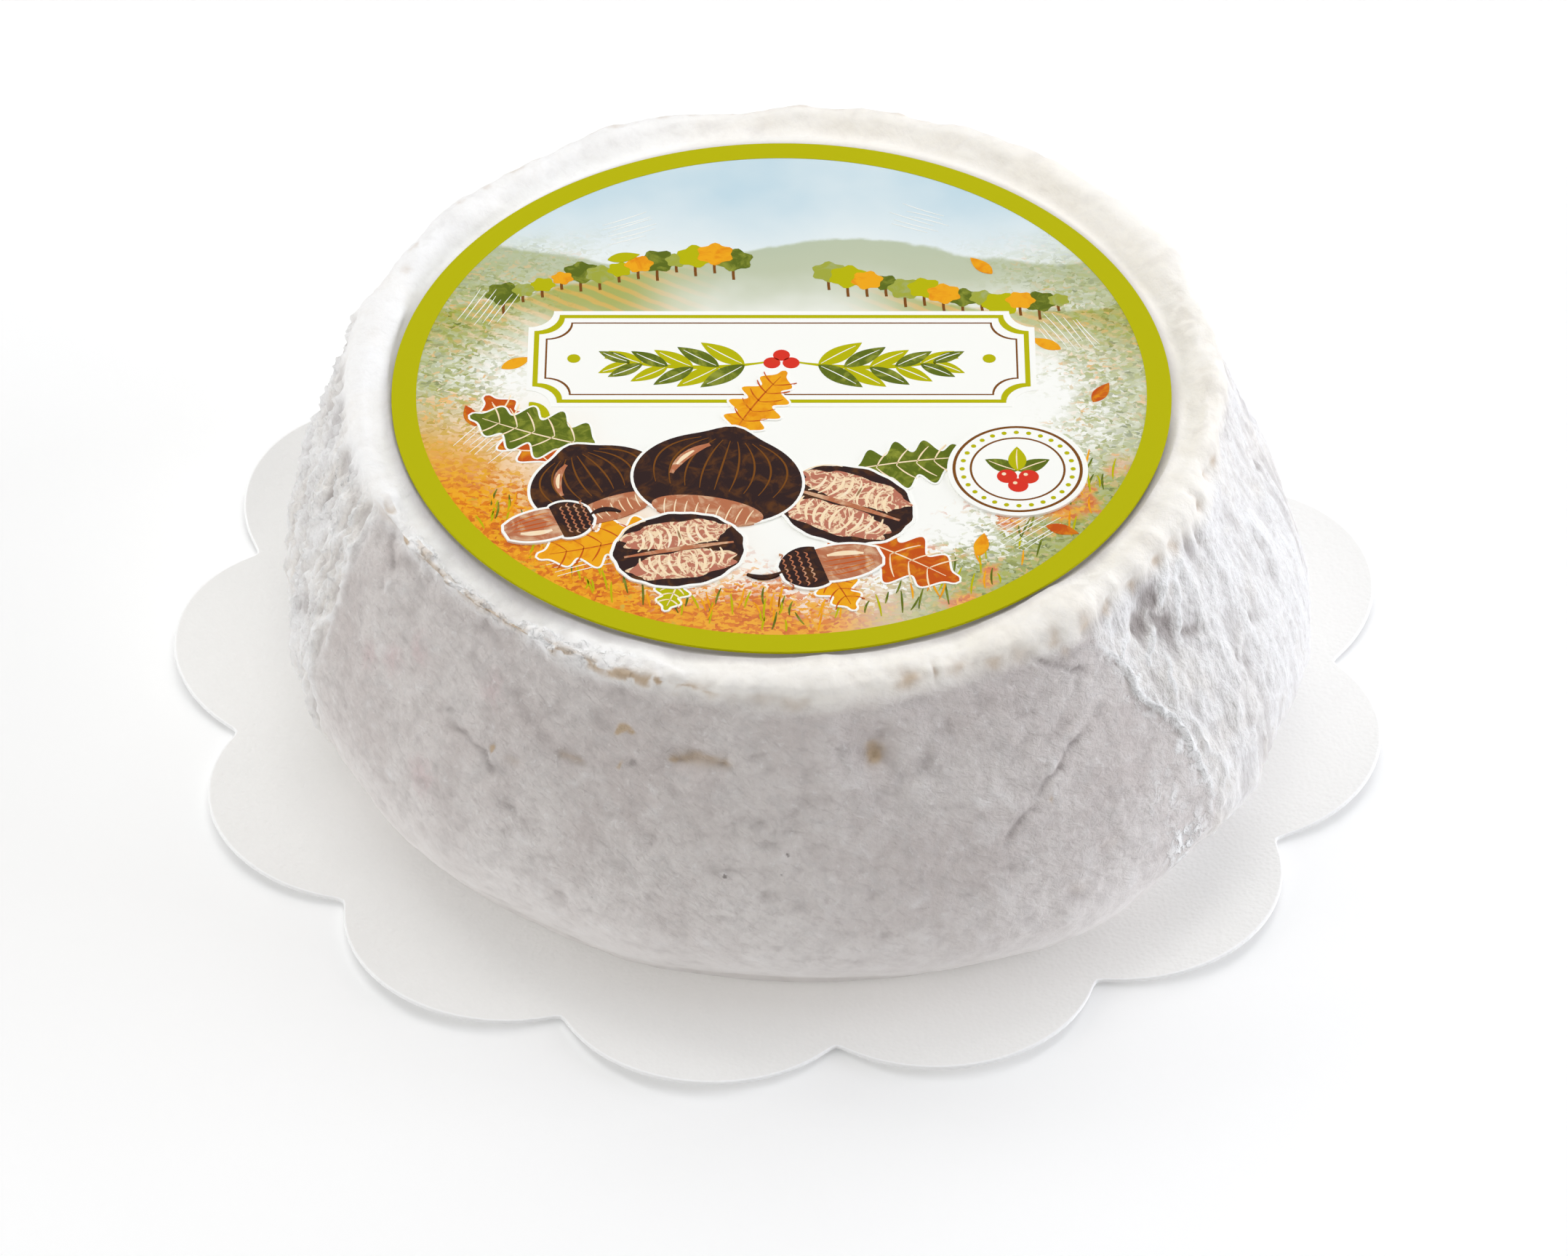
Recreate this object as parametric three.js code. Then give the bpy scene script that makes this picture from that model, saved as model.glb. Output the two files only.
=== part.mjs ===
// Truffle tuma: a soft white wheel of cheese with a round paper label, on a scalloped card.
// Millimetres, +Z up. The origin is the centre of the card's underside, on the table.
import * as THREE from 'three';
import { mergeVertices } from 'three/addons/utils/BufferGeometryUtils.js';

// Card: thirteen round lobes whose tips curl up a little from the flat middle
const CARD = {
  thickness: 0.6,
  lobes: 13,
  lobeRadius: 21.0,
  lobeCentreRadius: 64.0,
  firstNotchAzimuth: 164.6,
  flatRadius: 68.0,
  curlLift: 1.5,
  curlPower: 1.6,
  segmentsPerLobe: 14,
  bandsInLobe: 2,
};

// Wheel: heights are measured from its own underside
const WHEEL = {
  height: 48.4,
  bulgeHeight: 14.0,
  footRound: 2.2,
  footFlare: 1.8,
  rimRound: 1.8,
  rimFlare: 0.9,
  beadRise: 0.4,
  beadInset: 2.6,
  grooveDepth: 1.0,
  grooveRadius: 54.4,
  seatRadius: 51.6,
  segments: 176,
  footSteps: 2,
  lowerSteps: 5,
  upperSteps: 10,
  rimSteps: 3,
  beadSteps: 3,
};

// Plan outlines of the wheel: mean radius, sideways shift and how oval each one is
const FOOT = { radius: 65.5, shiftX: 2.4, shiftY: -0.2, ovalX: 0.0, ovalDiagonal: -0.35 };
const BULGE = { radius: 71.0, shiftX: 1.5, shiftY: -2.3, ovalX: -0.5, ovalDiagonal: -2.6 };
const RIM = { radius: 60.3, shiftX: 0.5, shiftY: 1.7, ovalX: -0.7, ovalDiagonal: 0.3 };

// Hand-shaped swellings and hollows of the rind: where, how wide (degrees), how tall, how far out
const SWELLINGS = [
  { azimuth: -56, height: 4, wide: 8, tall: 9, out: 1.4 },
  { azimuth: -40, height: 5, wide: 6, tall: 8, out: -0.9 },
  { azimuth: -23, height: 10, wide: 6, tall: 9, out: -1.1 },
  { azimuth: -41, height: 41, wide: 3.5, tall: 5, out: -1.0 },
  { azimuth: -100, height: 38.3, wide: 5, tall: 2.5, out: -0.6 },
  { azimuth: -79, height: 39.5, wide: 2.4, tall: 2.4, out: -0.7 },
  { azimuth: -109, height: 3, wide: 7, tall: 8, out: 0.6 },
  { azimuth: -133, height: 41, wide: 16, tall: 6, out: -0.5 },
  { azimuth: 162, height: 44, wide: 11, tall: 7, out: 1.6 },
  { azimuth: -178, height: 15, wide: 20, tall: 11, out: -0.8 },
  { azimuth: -150, height: 47, wide: 18, tall: 4, out: -1.6 },
  { azimuth: -128, height: 47, wide: 12, tall: 4, out: -1.2 },
  { azimuth: 120, height: 24, wide: 24, tall: 14, out: 0.8 },
  { azimuth: 62, height: 45, wide: 10, tall: 7, out: 0.7 },
  { azimuth: 31, height: 46, wide: 9, tall: 6, out: 1.3 },
  { azimuth: -51, height: 47, wide: 5, tall: 4, out: 1.2 },
  { azimuth: -106, height: 47, wide: 8, tall: 4, out: -0.6 },
  { azimuth: -8, height: 41, wide: 10, tall: 10, out: -1.1 },
  { azimuth: 84, height: 12, wide: 14, tall: 10, out: -0.7 },
];

// Upright folds of the rind: two stretches of the side where the skin is wrinkled
const FOLDS = [
  { middle: -4, halfWidth: 42, fade: 8, depth: 0.6 },
  { middle: 176, halfWidth: 27, fade: 9, depth: 0.5 },
];
const FOLD_WAVES = [
  { perTurn: 36, lean: 0.06, phase: 0.4, share: 0.6 },
  { perTurn: 55, lean: -0.09, phase: 2.1, share: 0.4 },
];
const FOLD_TOP_FADE = 6.0;

// The raised crease that parts the smooth front from the wrinkled right side
const CREASE = { topAzimuth: -46.5, turnPerMm: 0.25, wide: 2.0, out: 0.8, bottom: 12, top: 47, fade: 5 };

// Lumps along the rim and the slow unevenness of the whole side
const RIM_LUMPS = [
  { perTurn: 13, phase: 1.3, out: 0.28 },
  { perTurn: 29, phase: 0.2, out: 0.3 },
];
const UNEVEN = [
  { perTurn: 5, lean: 0.05, phase: 0.7, out: 0.28 },
  { perTurn: 11, lean: -0.07, phase: 2.6, out: 0.22 },
];

const LABEL = { radius: 52.7, thickness: 0.3, segments: 104 };
const CLEARANCE = 0.1;

const MATERIALS = {
  rind: { color: '#e9e6e2', roughness: 0.88, metalness: 0 },
  printedPaper: { color: '#dfe2b8', roughness: 0.5, metalness: 0 },
  card: { color: '#f2efec', roughness: 0.75, metalness: 0 },
};

const TURN = 2 * Math.PI;
const radians = THREE.MathUtils.degToRad;

// Smallest signed angle from one azimuth to another, in degrees
function azimuthGap(from, to) {
  return THREE.MathUtils.euclideanModulo(to - from + 180, 360) - 180;
}

function bump(distance, width) {
  return Math.exp(-((distance / width) ** 2));
}

// A profile turned round +Z, each of its points then placed anew at every azimuth
function mouldedTurning(profile, segments, place) {
  const geometry = new THREE.LatheGeometry(profile, segments);
  geometry.deleteAttribute('normal');
  geometry.deleteAttribute('uv');
  const position = geometry.attributes.position;
  for (let index = 0; index < position.count; index += 1) {
    const station = index % profile.length;
    const column = Math.floor(index / profile.length) % segments;
    const angle = (TURN * column) / segments;
    const { radius, height } = place(profile, station, angle);
    position.setXYZ(index, radius * Math.cos(angle), radius * Math.sin(angle), height);
  }
  return withoutSlivers(mergeVertices(geometry));
}

// Triangles that shrank to a line at the axis are dropped
function withoutSlivers(geometry) {
  const old = geometry.index.array;
  const kept = [];
  for (let corner = 0; corner < old.length; corner += 3) {
    const [a, b, c] = [old[corner], old[corner + 1], old[corner + 2]];
    if (a !== b && b !== c && c !== a) kept.push(a, b, c);
  }
  geometry.setIndex(kept);
  geometry.computeVertexNormals();
  return geometry;
}

// Distance from the card's centre to its scalloped edge
function cardEdgeRadius(angle) {
  const lobeTurn = TURN / CARD.lobes;
  const fromNotch = THREE.MathUtils.euclideanModulo(angle - radians(CARD.firstNotchAzimuth), lobeTurn);
  const fromLobe = fromNotch - lobeTurn / 2;
  const across = CARD.lobeCentreRadius * Math.sin(fromLobe);
  return CARD.lobeCentreRadius * Math.cos(fromLobe) + Math.sqrt(CARD.lobeRadius ** 2 - across ** 2);
}

function cardCurl(radius) {
  const outer = CARD.lobeCentreRadius + CARD.lobeRadius;
  const along = Math.max(0, (radius - CARD.flatRadius) / (outer - CARD.flatRadius));
  return CARD.curlLift * along ** CARD.curlPower;
}

// Card: the profile's x runs from 0 at the centre to 1 at the flat middle's edge and 2 at the tips
function scallopedCard() {
  const outward = [0, 1];
  for (let band = 1; band <= CARD.bandsInLobe; band += 1) outward.push(1 + band / CARD.bandsInLobe);
  const underside = outward.map((reach) => new THREE.Vector2(reach, 0));
  const topside = outward.toReversed().map((reach) => new THREE.Vector2(reach, CARD.thickness));
  const place = (profile, station, angle) => {
    const { x: reach, y: level } = profile[station];
    const inFlat = Math.min(reach, 1) * CARD.flatRadius;
    const inLobe = Math.max(reach - 1, 0) * (cardEdgeRadius(angle) - CARD.flatRadius);
    const radius = inFlat + inLobe;
    return { radius, height: level + cardCurl(radius) };
  };
  const turnToNotch = radians(CARD.firstNotchAzimuth);
  const card = mouldedTurning([...underside, ...topside], CARD.lobes * CARD.segmentsPerLobe,
    (profile, station, angle) => place(profile, station, angle + turnToNotch));
  card.rotateZ(turnToNotch);
  return card;
}

// One stretch of the side between two radii, with its own slope at each end
function sideStretch(from, to, share, slopeFrom, slopeTo) {
  const blend = share * share * (3 - 2 * share);
  const leave = slopeFrom * (share ** 3 - 2 * share ** 2 + share);
  const arrive = slopeTo * (share ** 3 - share ** 2);
  return from + (to - from) * (blend + leave + arrive);
}

// Wheel's mean profile, from the middle of the underside round the side to the middle of the top
function wheelProfile() {
  const points = [new THREE.Vector2(0, 0)];
  const { footRound, rimRound, bulgeHeight, height, beadRise } = WHEEL;
  for (let step = 0; step <= WHEEL.footSteps; step += 1) {
    const turn = (Math.PI / 2) * (step / WHEEL.footSteps);
    const radius = FOOT.radius - footRound + footRound * Math.sin(turn);
    points.push(new THREE.Vector2(radius, footRound * (1 - Math.cos(turn))));
  }
  for (let step = 1; step <= WHEEL.lowerSteps; step += 1) {
    const share = step / WHEEL.lowerSteps;
    const radius = sideStretch(FOOT.radius, BULGE.radius, share, WHEEL.footFlare, 0);
    points.push(new THREE.Vector2(radius, footRound + (bulgeHeight - footRound) * share));
  }
  const beadTop = height + beadRise;
  const rimFoot = beadTop - rimRound;
  for (let step = 1; step <= WHEEL.upperSteps; step += 1) {
    const share = step / WHEEL.upperSteps;
    const radius = sideStretch(BULGE.radius, RIM.radius, share, 0, WHEEL.rimFlare);
    points.push(new THREE.Vector2(radius, bulgeHeight + (rimFoot - bulgeHeight) * share));
  }
  for (let step = 1; step <= WHEEL.rimSteps; step += 1) {
    const turn = (Math.PI / 2) * (step / WHEEL.rimSteps);
    const radius = RIM.radius - WHEEL.beadInset * (1 - Math.cos(turn));
    points.push(new THREE.Vector2(radius, rimFoot + rimRound * Math.sin(turn)));
  }
  const grooveFloor = height - WHEEL.grooveDepth;
  dipBetween(points, RIM.radius - WHEEL.beadInset, beadTop, WHEEL.grooveRadius, grooveFloor);
  dipBetween(points, WHEEL.grooveRadius, grooveFloor, WHEEL.seatRadius, height);
  points.push(new THREE.Vector2(0, height));
  return points;
}

// Adds a smooth S-shaped step from one radius and level to another
function dipBetween(points, fromRadius, fromLevel, toRadius, toLevel) {
  for (let step = 1; step <= WHEEL.beadSteps; step += 1) {
    const share = step / WHEEL.beadSteps;
    const ease = (1 - Math.cos(Math.PI * share)) / 2;
    const radius = fromRadius + (toRadius - fromRadius) * share;
    points.push(new THREE.Vector2(radius, fromLevel + (toLevel - fromLevel) * ease));
  }
}

function outlineShift(outline, angle) {
  const round = outline.shiftX * Math.cos(angle) + outline.shiftY * Math.sin(angle);
  const oval = outline.ovalX * Math.cos(2 * angle) + outline.ovalDiagonal * Math.sin(2 * angle);
  return round + oval;
}

// How far the plan outline stands off its mean radius, at any height of the side
function planShift(angle, height) {
  const foot = outlineShift(FOOT, angle);
  const bulge = outlineShift(BULGE, angle);
  const rim = outlineShift(RIM, angle);
  if (height <= WHEEL.bulgeHeight) {
    return THREE.MathUtils.lerp(foot, bulge, height / WHEEL.bulgeHeight);
  }
  const share = Math.min(1, (height - WHEEL.bulgeHeight) / (WHEEL.height - WHEEL.bulgeHeight));
  return THREE.MathUtils.lerp(bulge, rim, share);
}

function swellingRelief(azimuth, height) {
  return SWELLINGS.reduce((sum, { azimuth: middle, height: level, wide, tall, out }) => (
    sum + out * bump(azimuthGap(middle, azimuth), wide) * bump(height - level, tall)), 0);
}

function foldRelief(angle, azimuth, height) {
  const wave = FOLD_WAVES.reduce((sum, { perTurn, lean, phase, share }) => (
    sum + share * Math.sin(perTurn * angle + lean * height + phase)), 0);
  const belowRim = THREE.MathUtils.smoothstep(WHEEL.height - height, 0, FOLD_TOP_FADE);
  const aboveFoot = THREE.MathUtils.smoothstep(height, 0, FOLD_TOP_FADE);
  return FOLDS.reduce((sum, { middle, halfWidth, fade, depth }) => {
    const inside = halfWidth - Math.abs(azimuthGap(middle, azimuth));
    return sum + depth * wave * THREE.MathUtils.smoothstep(inside, 0, fade) * belowRim * aboveFoot;
  }, 0);
}

function creaseRelief(azimuth, height) {
  const line = CREASE.topAzimuth + CREASE.turnPerMm * (CREASE.top - height);
  const ends = THREE.MathUtils.smoothstep(height, CREASE.bottom - CREASE.fade, CREASE.bottom)
    * THREE.MathUtils.smoothstep(CREASE.top - height, 0, CREASE.fade);
  return CREASE.out * ends * bump(azimuthGap(line, azimuth), CREASE.wide);
}

function waveSum(waves, angle, height) {
  return waves.reduce((sum, { perTurn, lean = 0, phase, out }) => (
    sum + out * Math.sin(perTurn * angle + lean * height + phase)), 0);
}

// Relief of the rind, measured outward from the mean surface
function rindRelief(angle, radius, height) {
  const azimuth = THREE.MathUtils.radToDeg(angle);
  const onSide = THREE.MathUtils.smoothstep(height, 0, WHEEL.footRound);
  const side = swellingRelief(azimuth, height) + foldRelief(angle, azimuth, height)
    + creaseRelief(azimuth, height) + waveSum(UNEVEN, angle, height);
  const onRim = THREE.MathUtils.smoothstep(height, WHEEL.height - 4, WHEEL.height - 1);
  const clearOfLabel = THREE.MathUtils.smoothstep(radius, LABEL.radius, LABEL.radius + 3);
  return clearOfLabel * (side * onSide + waveSum(RIM_LUMPS, angle, height) * onRim);
}

// Which way the mean profile faces at one of its points
function outwardAt(profile, station) {
  const before = profile[Math.max(station - 1, 0)];
  const after = profile[Math.min(station + 1, profile.length - 1)];
  return new THREE.Vector2(after.y - before.y, before.x - after.x).normalize();
}

function cheeseWheel() {
  const profile = wheelProfile();
  return mouldedTurning(profile, WHEEL.segments, (points, station, angle) => {
    const { x: meanRadius, y: meanHeight } = points[station];
    const outward = outwardAt(points, station);
    const relief = rindRelief(angle, meanRadius, meanHeight);
    const shift = planShift(angle, meanHeight) * Math.min(1, meanRadius / RIM.radius);
    const onFoot = meanHeight <= 0 || meanRadius < LABEL.radius;
    return {
      radius: meanRadius + shift + (onFoot ? 0 : outward.x * relief),
      height: meanHeight + (onFoot ? 0 : outward.y * relief),
    };
  });
}

function paperLabel() {
  const label = new THREE.CylinderGeometry(LABEL.radius, LABEL.radius, LABEL.thickness, LABEL.segments);
  label.rotateX(Math.PI / 2);
  label.translate(0, 0, LABEL.thickness / 2);
  return label;
}

function piece(name, geometry, finish, level) {
  const mesh = new THREE.Mesh(geometry, new THREE.MeshStandardMaterial(MATERIALS[finish]));
  mesh.name = name;
  mesh.position.z = level;
  return mesh;
}

const wheelLevel = CARD.thickness + CLEARANCE;
const labelLevel = wheelLevel + WHEEL.height + CLEARANCE;

const cheese = new THREE.Group();
cheese.add(piece('scalloped_card', scallopedCard(), 'card', 0));
cheese.add(piece('cheese_wheel', cheeseWheel(), 'rind', wheelLevel));
cheese.add(piece('paper_label', paperLabel(), 'printedPaper', labelLevel));

export default cheese;
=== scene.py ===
import math

import bpy
import numpy as np
from bpy.props import FloatProperty, FloatVectorProperty, IntProperty, PointerProperty
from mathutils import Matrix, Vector, noise


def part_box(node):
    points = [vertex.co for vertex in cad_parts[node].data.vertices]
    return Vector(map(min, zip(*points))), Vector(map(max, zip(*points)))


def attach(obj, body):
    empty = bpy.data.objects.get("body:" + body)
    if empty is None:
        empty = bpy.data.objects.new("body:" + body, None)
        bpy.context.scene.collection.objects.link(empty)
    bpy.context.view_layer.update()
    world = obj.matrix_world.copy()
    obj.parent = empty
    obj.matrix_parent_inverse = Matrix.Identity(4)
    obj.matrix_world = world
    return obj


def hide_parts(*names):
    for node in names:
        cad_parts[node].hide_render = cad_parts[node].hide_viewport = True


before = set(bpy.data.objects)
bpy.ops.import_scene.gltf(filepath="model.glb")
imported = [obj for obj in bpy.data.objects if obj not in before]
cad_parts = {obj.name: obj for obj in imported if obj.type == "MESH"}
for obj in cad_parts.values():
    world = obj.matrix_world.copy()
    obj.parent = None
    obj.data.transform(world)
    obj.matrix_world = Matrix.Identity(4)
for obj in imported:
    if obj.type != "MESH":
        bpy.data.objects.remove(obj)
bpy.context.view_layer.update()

bl_info = {
    "name": "Soft Cheese Wheel",
    "version": (1, 0, 0),
    "blender": (4, 5, 0),
    "location": "3D View > Sidebar > Cheese",
    "description": "Builds a soft cheese wheel with a printed label on a scalloped card",
    "category": "Add Mesh",
}

MM = 0.001
TURN = 2 * math.pi
BODY = "root"

# The air between one solid and the next in mm, and the length of a degree round the wheel's side
GAP = 0.1
MM_PER_DEGREE = 1.15

# Rows of points along each stretch of the wheel's profile, and shares of the flat parts' radii
ROWS = {"foot": 5, "belly": 20, "side": 68, "rim": 8, "dip": 8}
UNDERSIDE_SHARES = (0.3, 0.7, 0.9)
SEAT_SHARES = (0.8, 0.4)

# Where the columns of the wheel's mesh lie closer: middle azimuth, half-width and soft edge in degrees,
# and how many more there are for each one elsewhere
CLOSER = {"middle": -78, "reach": 106, "soft": 16, "extra": 1.3}

# Plan outlines of the wheel in mm: sideways shift and how oval each one is
FOOT = {"x": 2.4, "y": -0.2, "oval": 0.0, "diagonal": -0.35}
BULGE = {"x": 1.5, "y": -2.3, "oval": -0.5, "diagonal": -2.6}
RIM = {"x": 0.5, "y": 1.7, "oval": -0.7, "diagonal": 0.3}

# Swellings and hollows of the rind: azimuth, height, half-width in degrees, half-height, amount outward
SWELLINGS = [
    (-56, 4, 8, 9, 1.4),
    (-40, 5, 6, 8, -0.9),
    (-23, 10, 6, 9, -1.1),
    (-41, 41, 3.5, 5, -1.0),
    (-100, 38.3, 5, 2.5, -0.6),
    (-79, 39.5, 2.4, 2.4, -0.7),
    (-109, 3, 7, 8, 0.6),
    (-133, 41, 16, 6, -0.5),
    (162, 44, 11, 7, 1.6),
    (-178, 15, 20, 11, -0.8),
    (-150, 47, 18, 4, -1.6),
    (-128, 47, 12, 4, -1.2),
    (120, 24, 24, 14, 0.8),
    (62, 45, 10, 7, 0.7),
    (31, 46, 9, 6, 1.3),
    (-51, 47, 5, 4, 1.2),
    (-106, 47, 8, 4, -0.6),
    (-8, 41, 10, 10, -1.1),
    (84, 12, 14, 10, -0.7),
]

# Wrinkled stretches of the side: middle azimuth, half-width, soft edge in degrees, depth of the folds
RIGHT_MIDDLE = -4
LEFT_MIDDLE = 176
FOLDS = [(RIGHT_MIDDLE, 42, 8, 0.6), (LEFT_MIDDLE, 27, 9, 0.5)]

# Where the fine wrinkles of the left side start, and where both sides' have faded out, as azimuths
LEFT_START = -156.5
LEFT_END = 146
RIGHT_END = 44

# Waves round the wheel: how many in a turn, lean per mm of height, phase, amount outward
FOLD_WAVES = [(36, 0.06, 0.4, 0.6), (55, -0.09, 2.1, 0.4)]
SIDE_WAVES = [(5, 0.05, 0.7, 0.28), (11, -0.07, 2.6, 0.22)]
RIM_WAVES = [(13, 0.0, 1.3, 0.28), (29, 0.0, 0.2, 0.3)]


def linear(red, green, blue):
    """A colour given as 0 to 255 screen values, as the linear colour that shaders use."""
    def channel(value):
        share = value / 255
        return share / 12.92 if share <= 0.04045 else ((share + 0.055) / 1.055) ** 2.4
    return channel(red), channel(green), channel(blue)


def length(name, description, default):
    """A size in metres."""
    return FloatProperty(name=name, description=description, default=default, unit="LENGTH", precision=5)


def colour(name, description, default):
    """A colour in linear shares of red, green and blue."""
    return FloatVectorProperty(name=name, description=description, default=default, size=3,
                               subtype="COLOR", min=0.0, max=1.0)


class CheeseWheelSettings(bpy.types.PropertyGroup):
    """Sizes and colours of the wheel and its rind"""
    height: length("Height", "From the underside to the seat of the label", 0.0484)
    bulge_height: length("Belly height", "Where the wheel is widest", 0.014)
    foot_radius: length("Foot radius", "Mean radius where the wheel meets the card", 0.0655)
    bulge_radius: length("Belly radius", "Mean radius of the widest ring", 0.071)
    rim_radius: length("Rim radius", "Mean radius of the upper edge", 0.0603)
    foot_round: length("Foot rounding", "Radius of the lower edge", 0.0022)
    rim_round: length("Rim rounding", "Height of the rounded upper edge", 0.0018)
    bead_rise: length("Bead rise", "How far the rim stands above the label's seat", 0.0004)
    bead_inset: length("Bead inset", "From the rim's edge to its highest line", 0.0026)
    groove_depth: length("Groove depth", "Depth of the dip outside the label", 0.001)
    groove_radius: length("Groove radius", "Radius of the dip outside the label", 0.0544)
    seat_radius: length("Seat radius", "Radius of the flat seat under the label", 0.0516)
    wrinkle_depth: length("Wrinkle depth", "Depth of the sharp wrinkles on the sides", 0.0008)
    dimple_depth: length("Dimple depth", "Depth of the soft dimples all over", 0.0003)
    crumb_depth: length("Crumb depth", "Size of the crumbs along the rim", 0.0013)
    foot_flare: FloatProperty(name="Foot flare", description="How fast the side leaves the foot",
                              default=1.8)
    rim_flare: FloatProperty(name="Rim flare", description="How fast the side reaches the rim", default=0.9)
    columns: IntProperty(name="Columns", description="Mesh columns round the wheel", default=756, min=48)
    white: colour("Rind white", "Wrinkled sides and top", linear(245, 244, 244))
    warm: colour("Warm white", "Creamy patches of the sides and top", linear(242, 238, 233))
    foot: colour("Foot", "Smooth rind low on the front", linear(242, 238, 236))
    # The front's greyer tone is partly the smooth rind's own and partly painted shade of the side turned
    # away from the main lights
    front: colour("Front", "Smooth greyer rind of the front, partly painted shade", linear(222, 216, 213))
    blush: colour("Blush", "Pinkish patches of the front", linear(212, 204, 201))
    grey: colour("Grey blotches", "Cool smudges", linear(205, 200, 198))
    mauve: colour("Mauve strokes", "Thin rind between the strokes of bloom", linear(187, 178, 176))
    rose: colour("Rose", "Pinkish patches low on the front", linear(212, 190, 190))
    # Painted shade: the colour that the mesh's shade above 0 brings to creases, hollows, dents and the rim's
    # gaps, partly the thinner rind's own greyer tone
    crease: colour("Creases", "Depth of the creases", linear(158, 149, 147))
    cream: colour("Cream", "Creamier bloom of the rim's right side", linear(250, 244, 231))
    # Bloom is the thick white mould's own colour, and also the painted highlight that the mesh's shade below
    # 0 brings to ridges and strands
    bloom: colour("Bloom", "Thick white mould and painted highlight on ridges, and crumbs", linear(254, 254, 254))
    # Stain, tan and brown are the bare paste's colours; in the rim's gaps and low on its soft swells they
    # are also partly painted shade
    stain: colour("Stain", "Thin bare patches", linear(212, 198, 184))
    tan: colour("Tan", "Bare paste under the rim and in the pits", linear(200, 178, 152))
    brown: colour("Brown", "Deepest stains", linear(168, 146, 116))
    speck: colour("Specks", "Tiny dark specks", linear(96, 86, 82))
    # Painted shadow: the colour of a ring of rind just outside the label's edge
    shadow: colour("Painted label shadow", "Painted shadow of the label on the rind", linear(150, 142, 146))


class CheeseCardSettings(bpy.types.PropertyGroup):
    """Sizes and colours of the card"""
    lobes: IntProperty(name="Lobes", description="Round lobes of the edge", default=13, min=3)
    lobe_radius: length("Lobe radius", "Radius of each lobe's arc", 0.021)
    lobe_centre: length("Lobe centres", "Distance of the arcs' centres from the middle", 0.064)
    flat_radius: length("Flat radius", "Radius of the flat middle", 0.068)
    curl_lift: length("Curl", "How far the tips of the lobes rise", 0.0015)
    edge_round: length("Edge rounding", "Radius of the card's cut edge", 0.00022)
    first_notch: FloatProperty(name="First notch", description="Azimuth of one notch", subtype="ANGLE",
                               default=math.radians(164.6))
    curl_power: FloatProperty(name="Curl power", description="How late the tips start to rise", default=1.6)
    top: colour("Card", "Colour of the card's face", linear(246, 245, 243))
    # The cut edge's white is partly the board's own and partly a painted highlight where the edge catches
    # the light
    edge: colour("Cut edge", "Colour of the cut edge", linear(254, 254, 254))


class CheeseLabelSettings(bpy.types.PropertyGroup):
    """Sizes and colours of the label and its print"""
    ring_width: length("Ring width", "Width of the olive border", 0.0033)
    ink_step: length("Ink step", "Height of one printed layer over the next", 0.000004)
    paper: colour("Paper", "Unprinted paper", linear(248, 248, 243))
    olive: colour("Olive", "Border and line colour", linear(182, 179, 4))
    sky: colour("Sky", "Wash at the top", linear(186, 212, 224))
    hill: colour("Hills", "Wash of the far hills", linear(164, 174, 126))
    meadow: colour("Meadow", "Wash of the near hills", linear(160, 166, 62))
    gold: colour("Gold", "Autumn wash", linear(236, 166, 26))
    amber: colour("Amber", "Middle of the autumn wash", linear(222, 124, 16))
    rust: colour("Rust", "Autumn leaves", linear(194, 82, 24))
    leaf: colour("Leaf green", "Green leaves", linear(92, 106, 28))
    bark: colour("Dark brown", "Chestnuts, shells and cups", linear(50, 34, 33))
    nut: colour("Nut", "Acorns", linear(182, 112, 78))
    kernel: colour("Kernel", "Walnut kernels", linear(186, 116, 94))
    cream: colour("Cream", "Highlights", linear(246, 222, 184))
    berry: colour("Berry", "Berries", linear(216, 52, 38))
    line: colour("Brown line", "Rings of the seal", linear(122, 74, 26))


class CheeseStageSettings(bpy.types.PropertyGroup):
    """Camera, lights and floor"""
    elevation: FloatProperty(name="Camera elevation", description="Above the horizon", subtype="ANGLE",
                             default=math.radians(42.6))
    distance: length("Camera distance", "From the camera to the point it looks at", 1.0)
    target_x: length("Target across", "Point the camera looks at, to the right", 0.00034)
    target_y: length("Target depth", "Point the camera looks at, to the back", 0.0052)
    focal: FloatProperty(name="Focal length", description="In mm on a 36 mm sensor", default=163.6)
    brightness: FloatProperty(name="Brightness", description="Multiplies every studio light", default=1.0)
    world: FloatProperty(name="Room light", description="Strength of the even room light", default=0.03)
    floor: colour("Floor", "Colour of the studio floor", linear(255, 255, 255))


def millimetres(settings):
    """The group's values, its lengths in millimetres."""
    values = {}
    for name, rule in settings.bl_rna.properties.items():
        if rule.type not in {"FLOAT", "INT"}:
            continue
        value = getattr(settings, name)
        if rule.type == "FLOAT" and rule.is_array:
            value = tuple(value)
        elif rule.type == "FLOAT" and rule.unit == "LENGTH":
            value /= MM
        values[name] = value
    return type("Millimetres", (), values)


# Shader expressions


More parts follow.
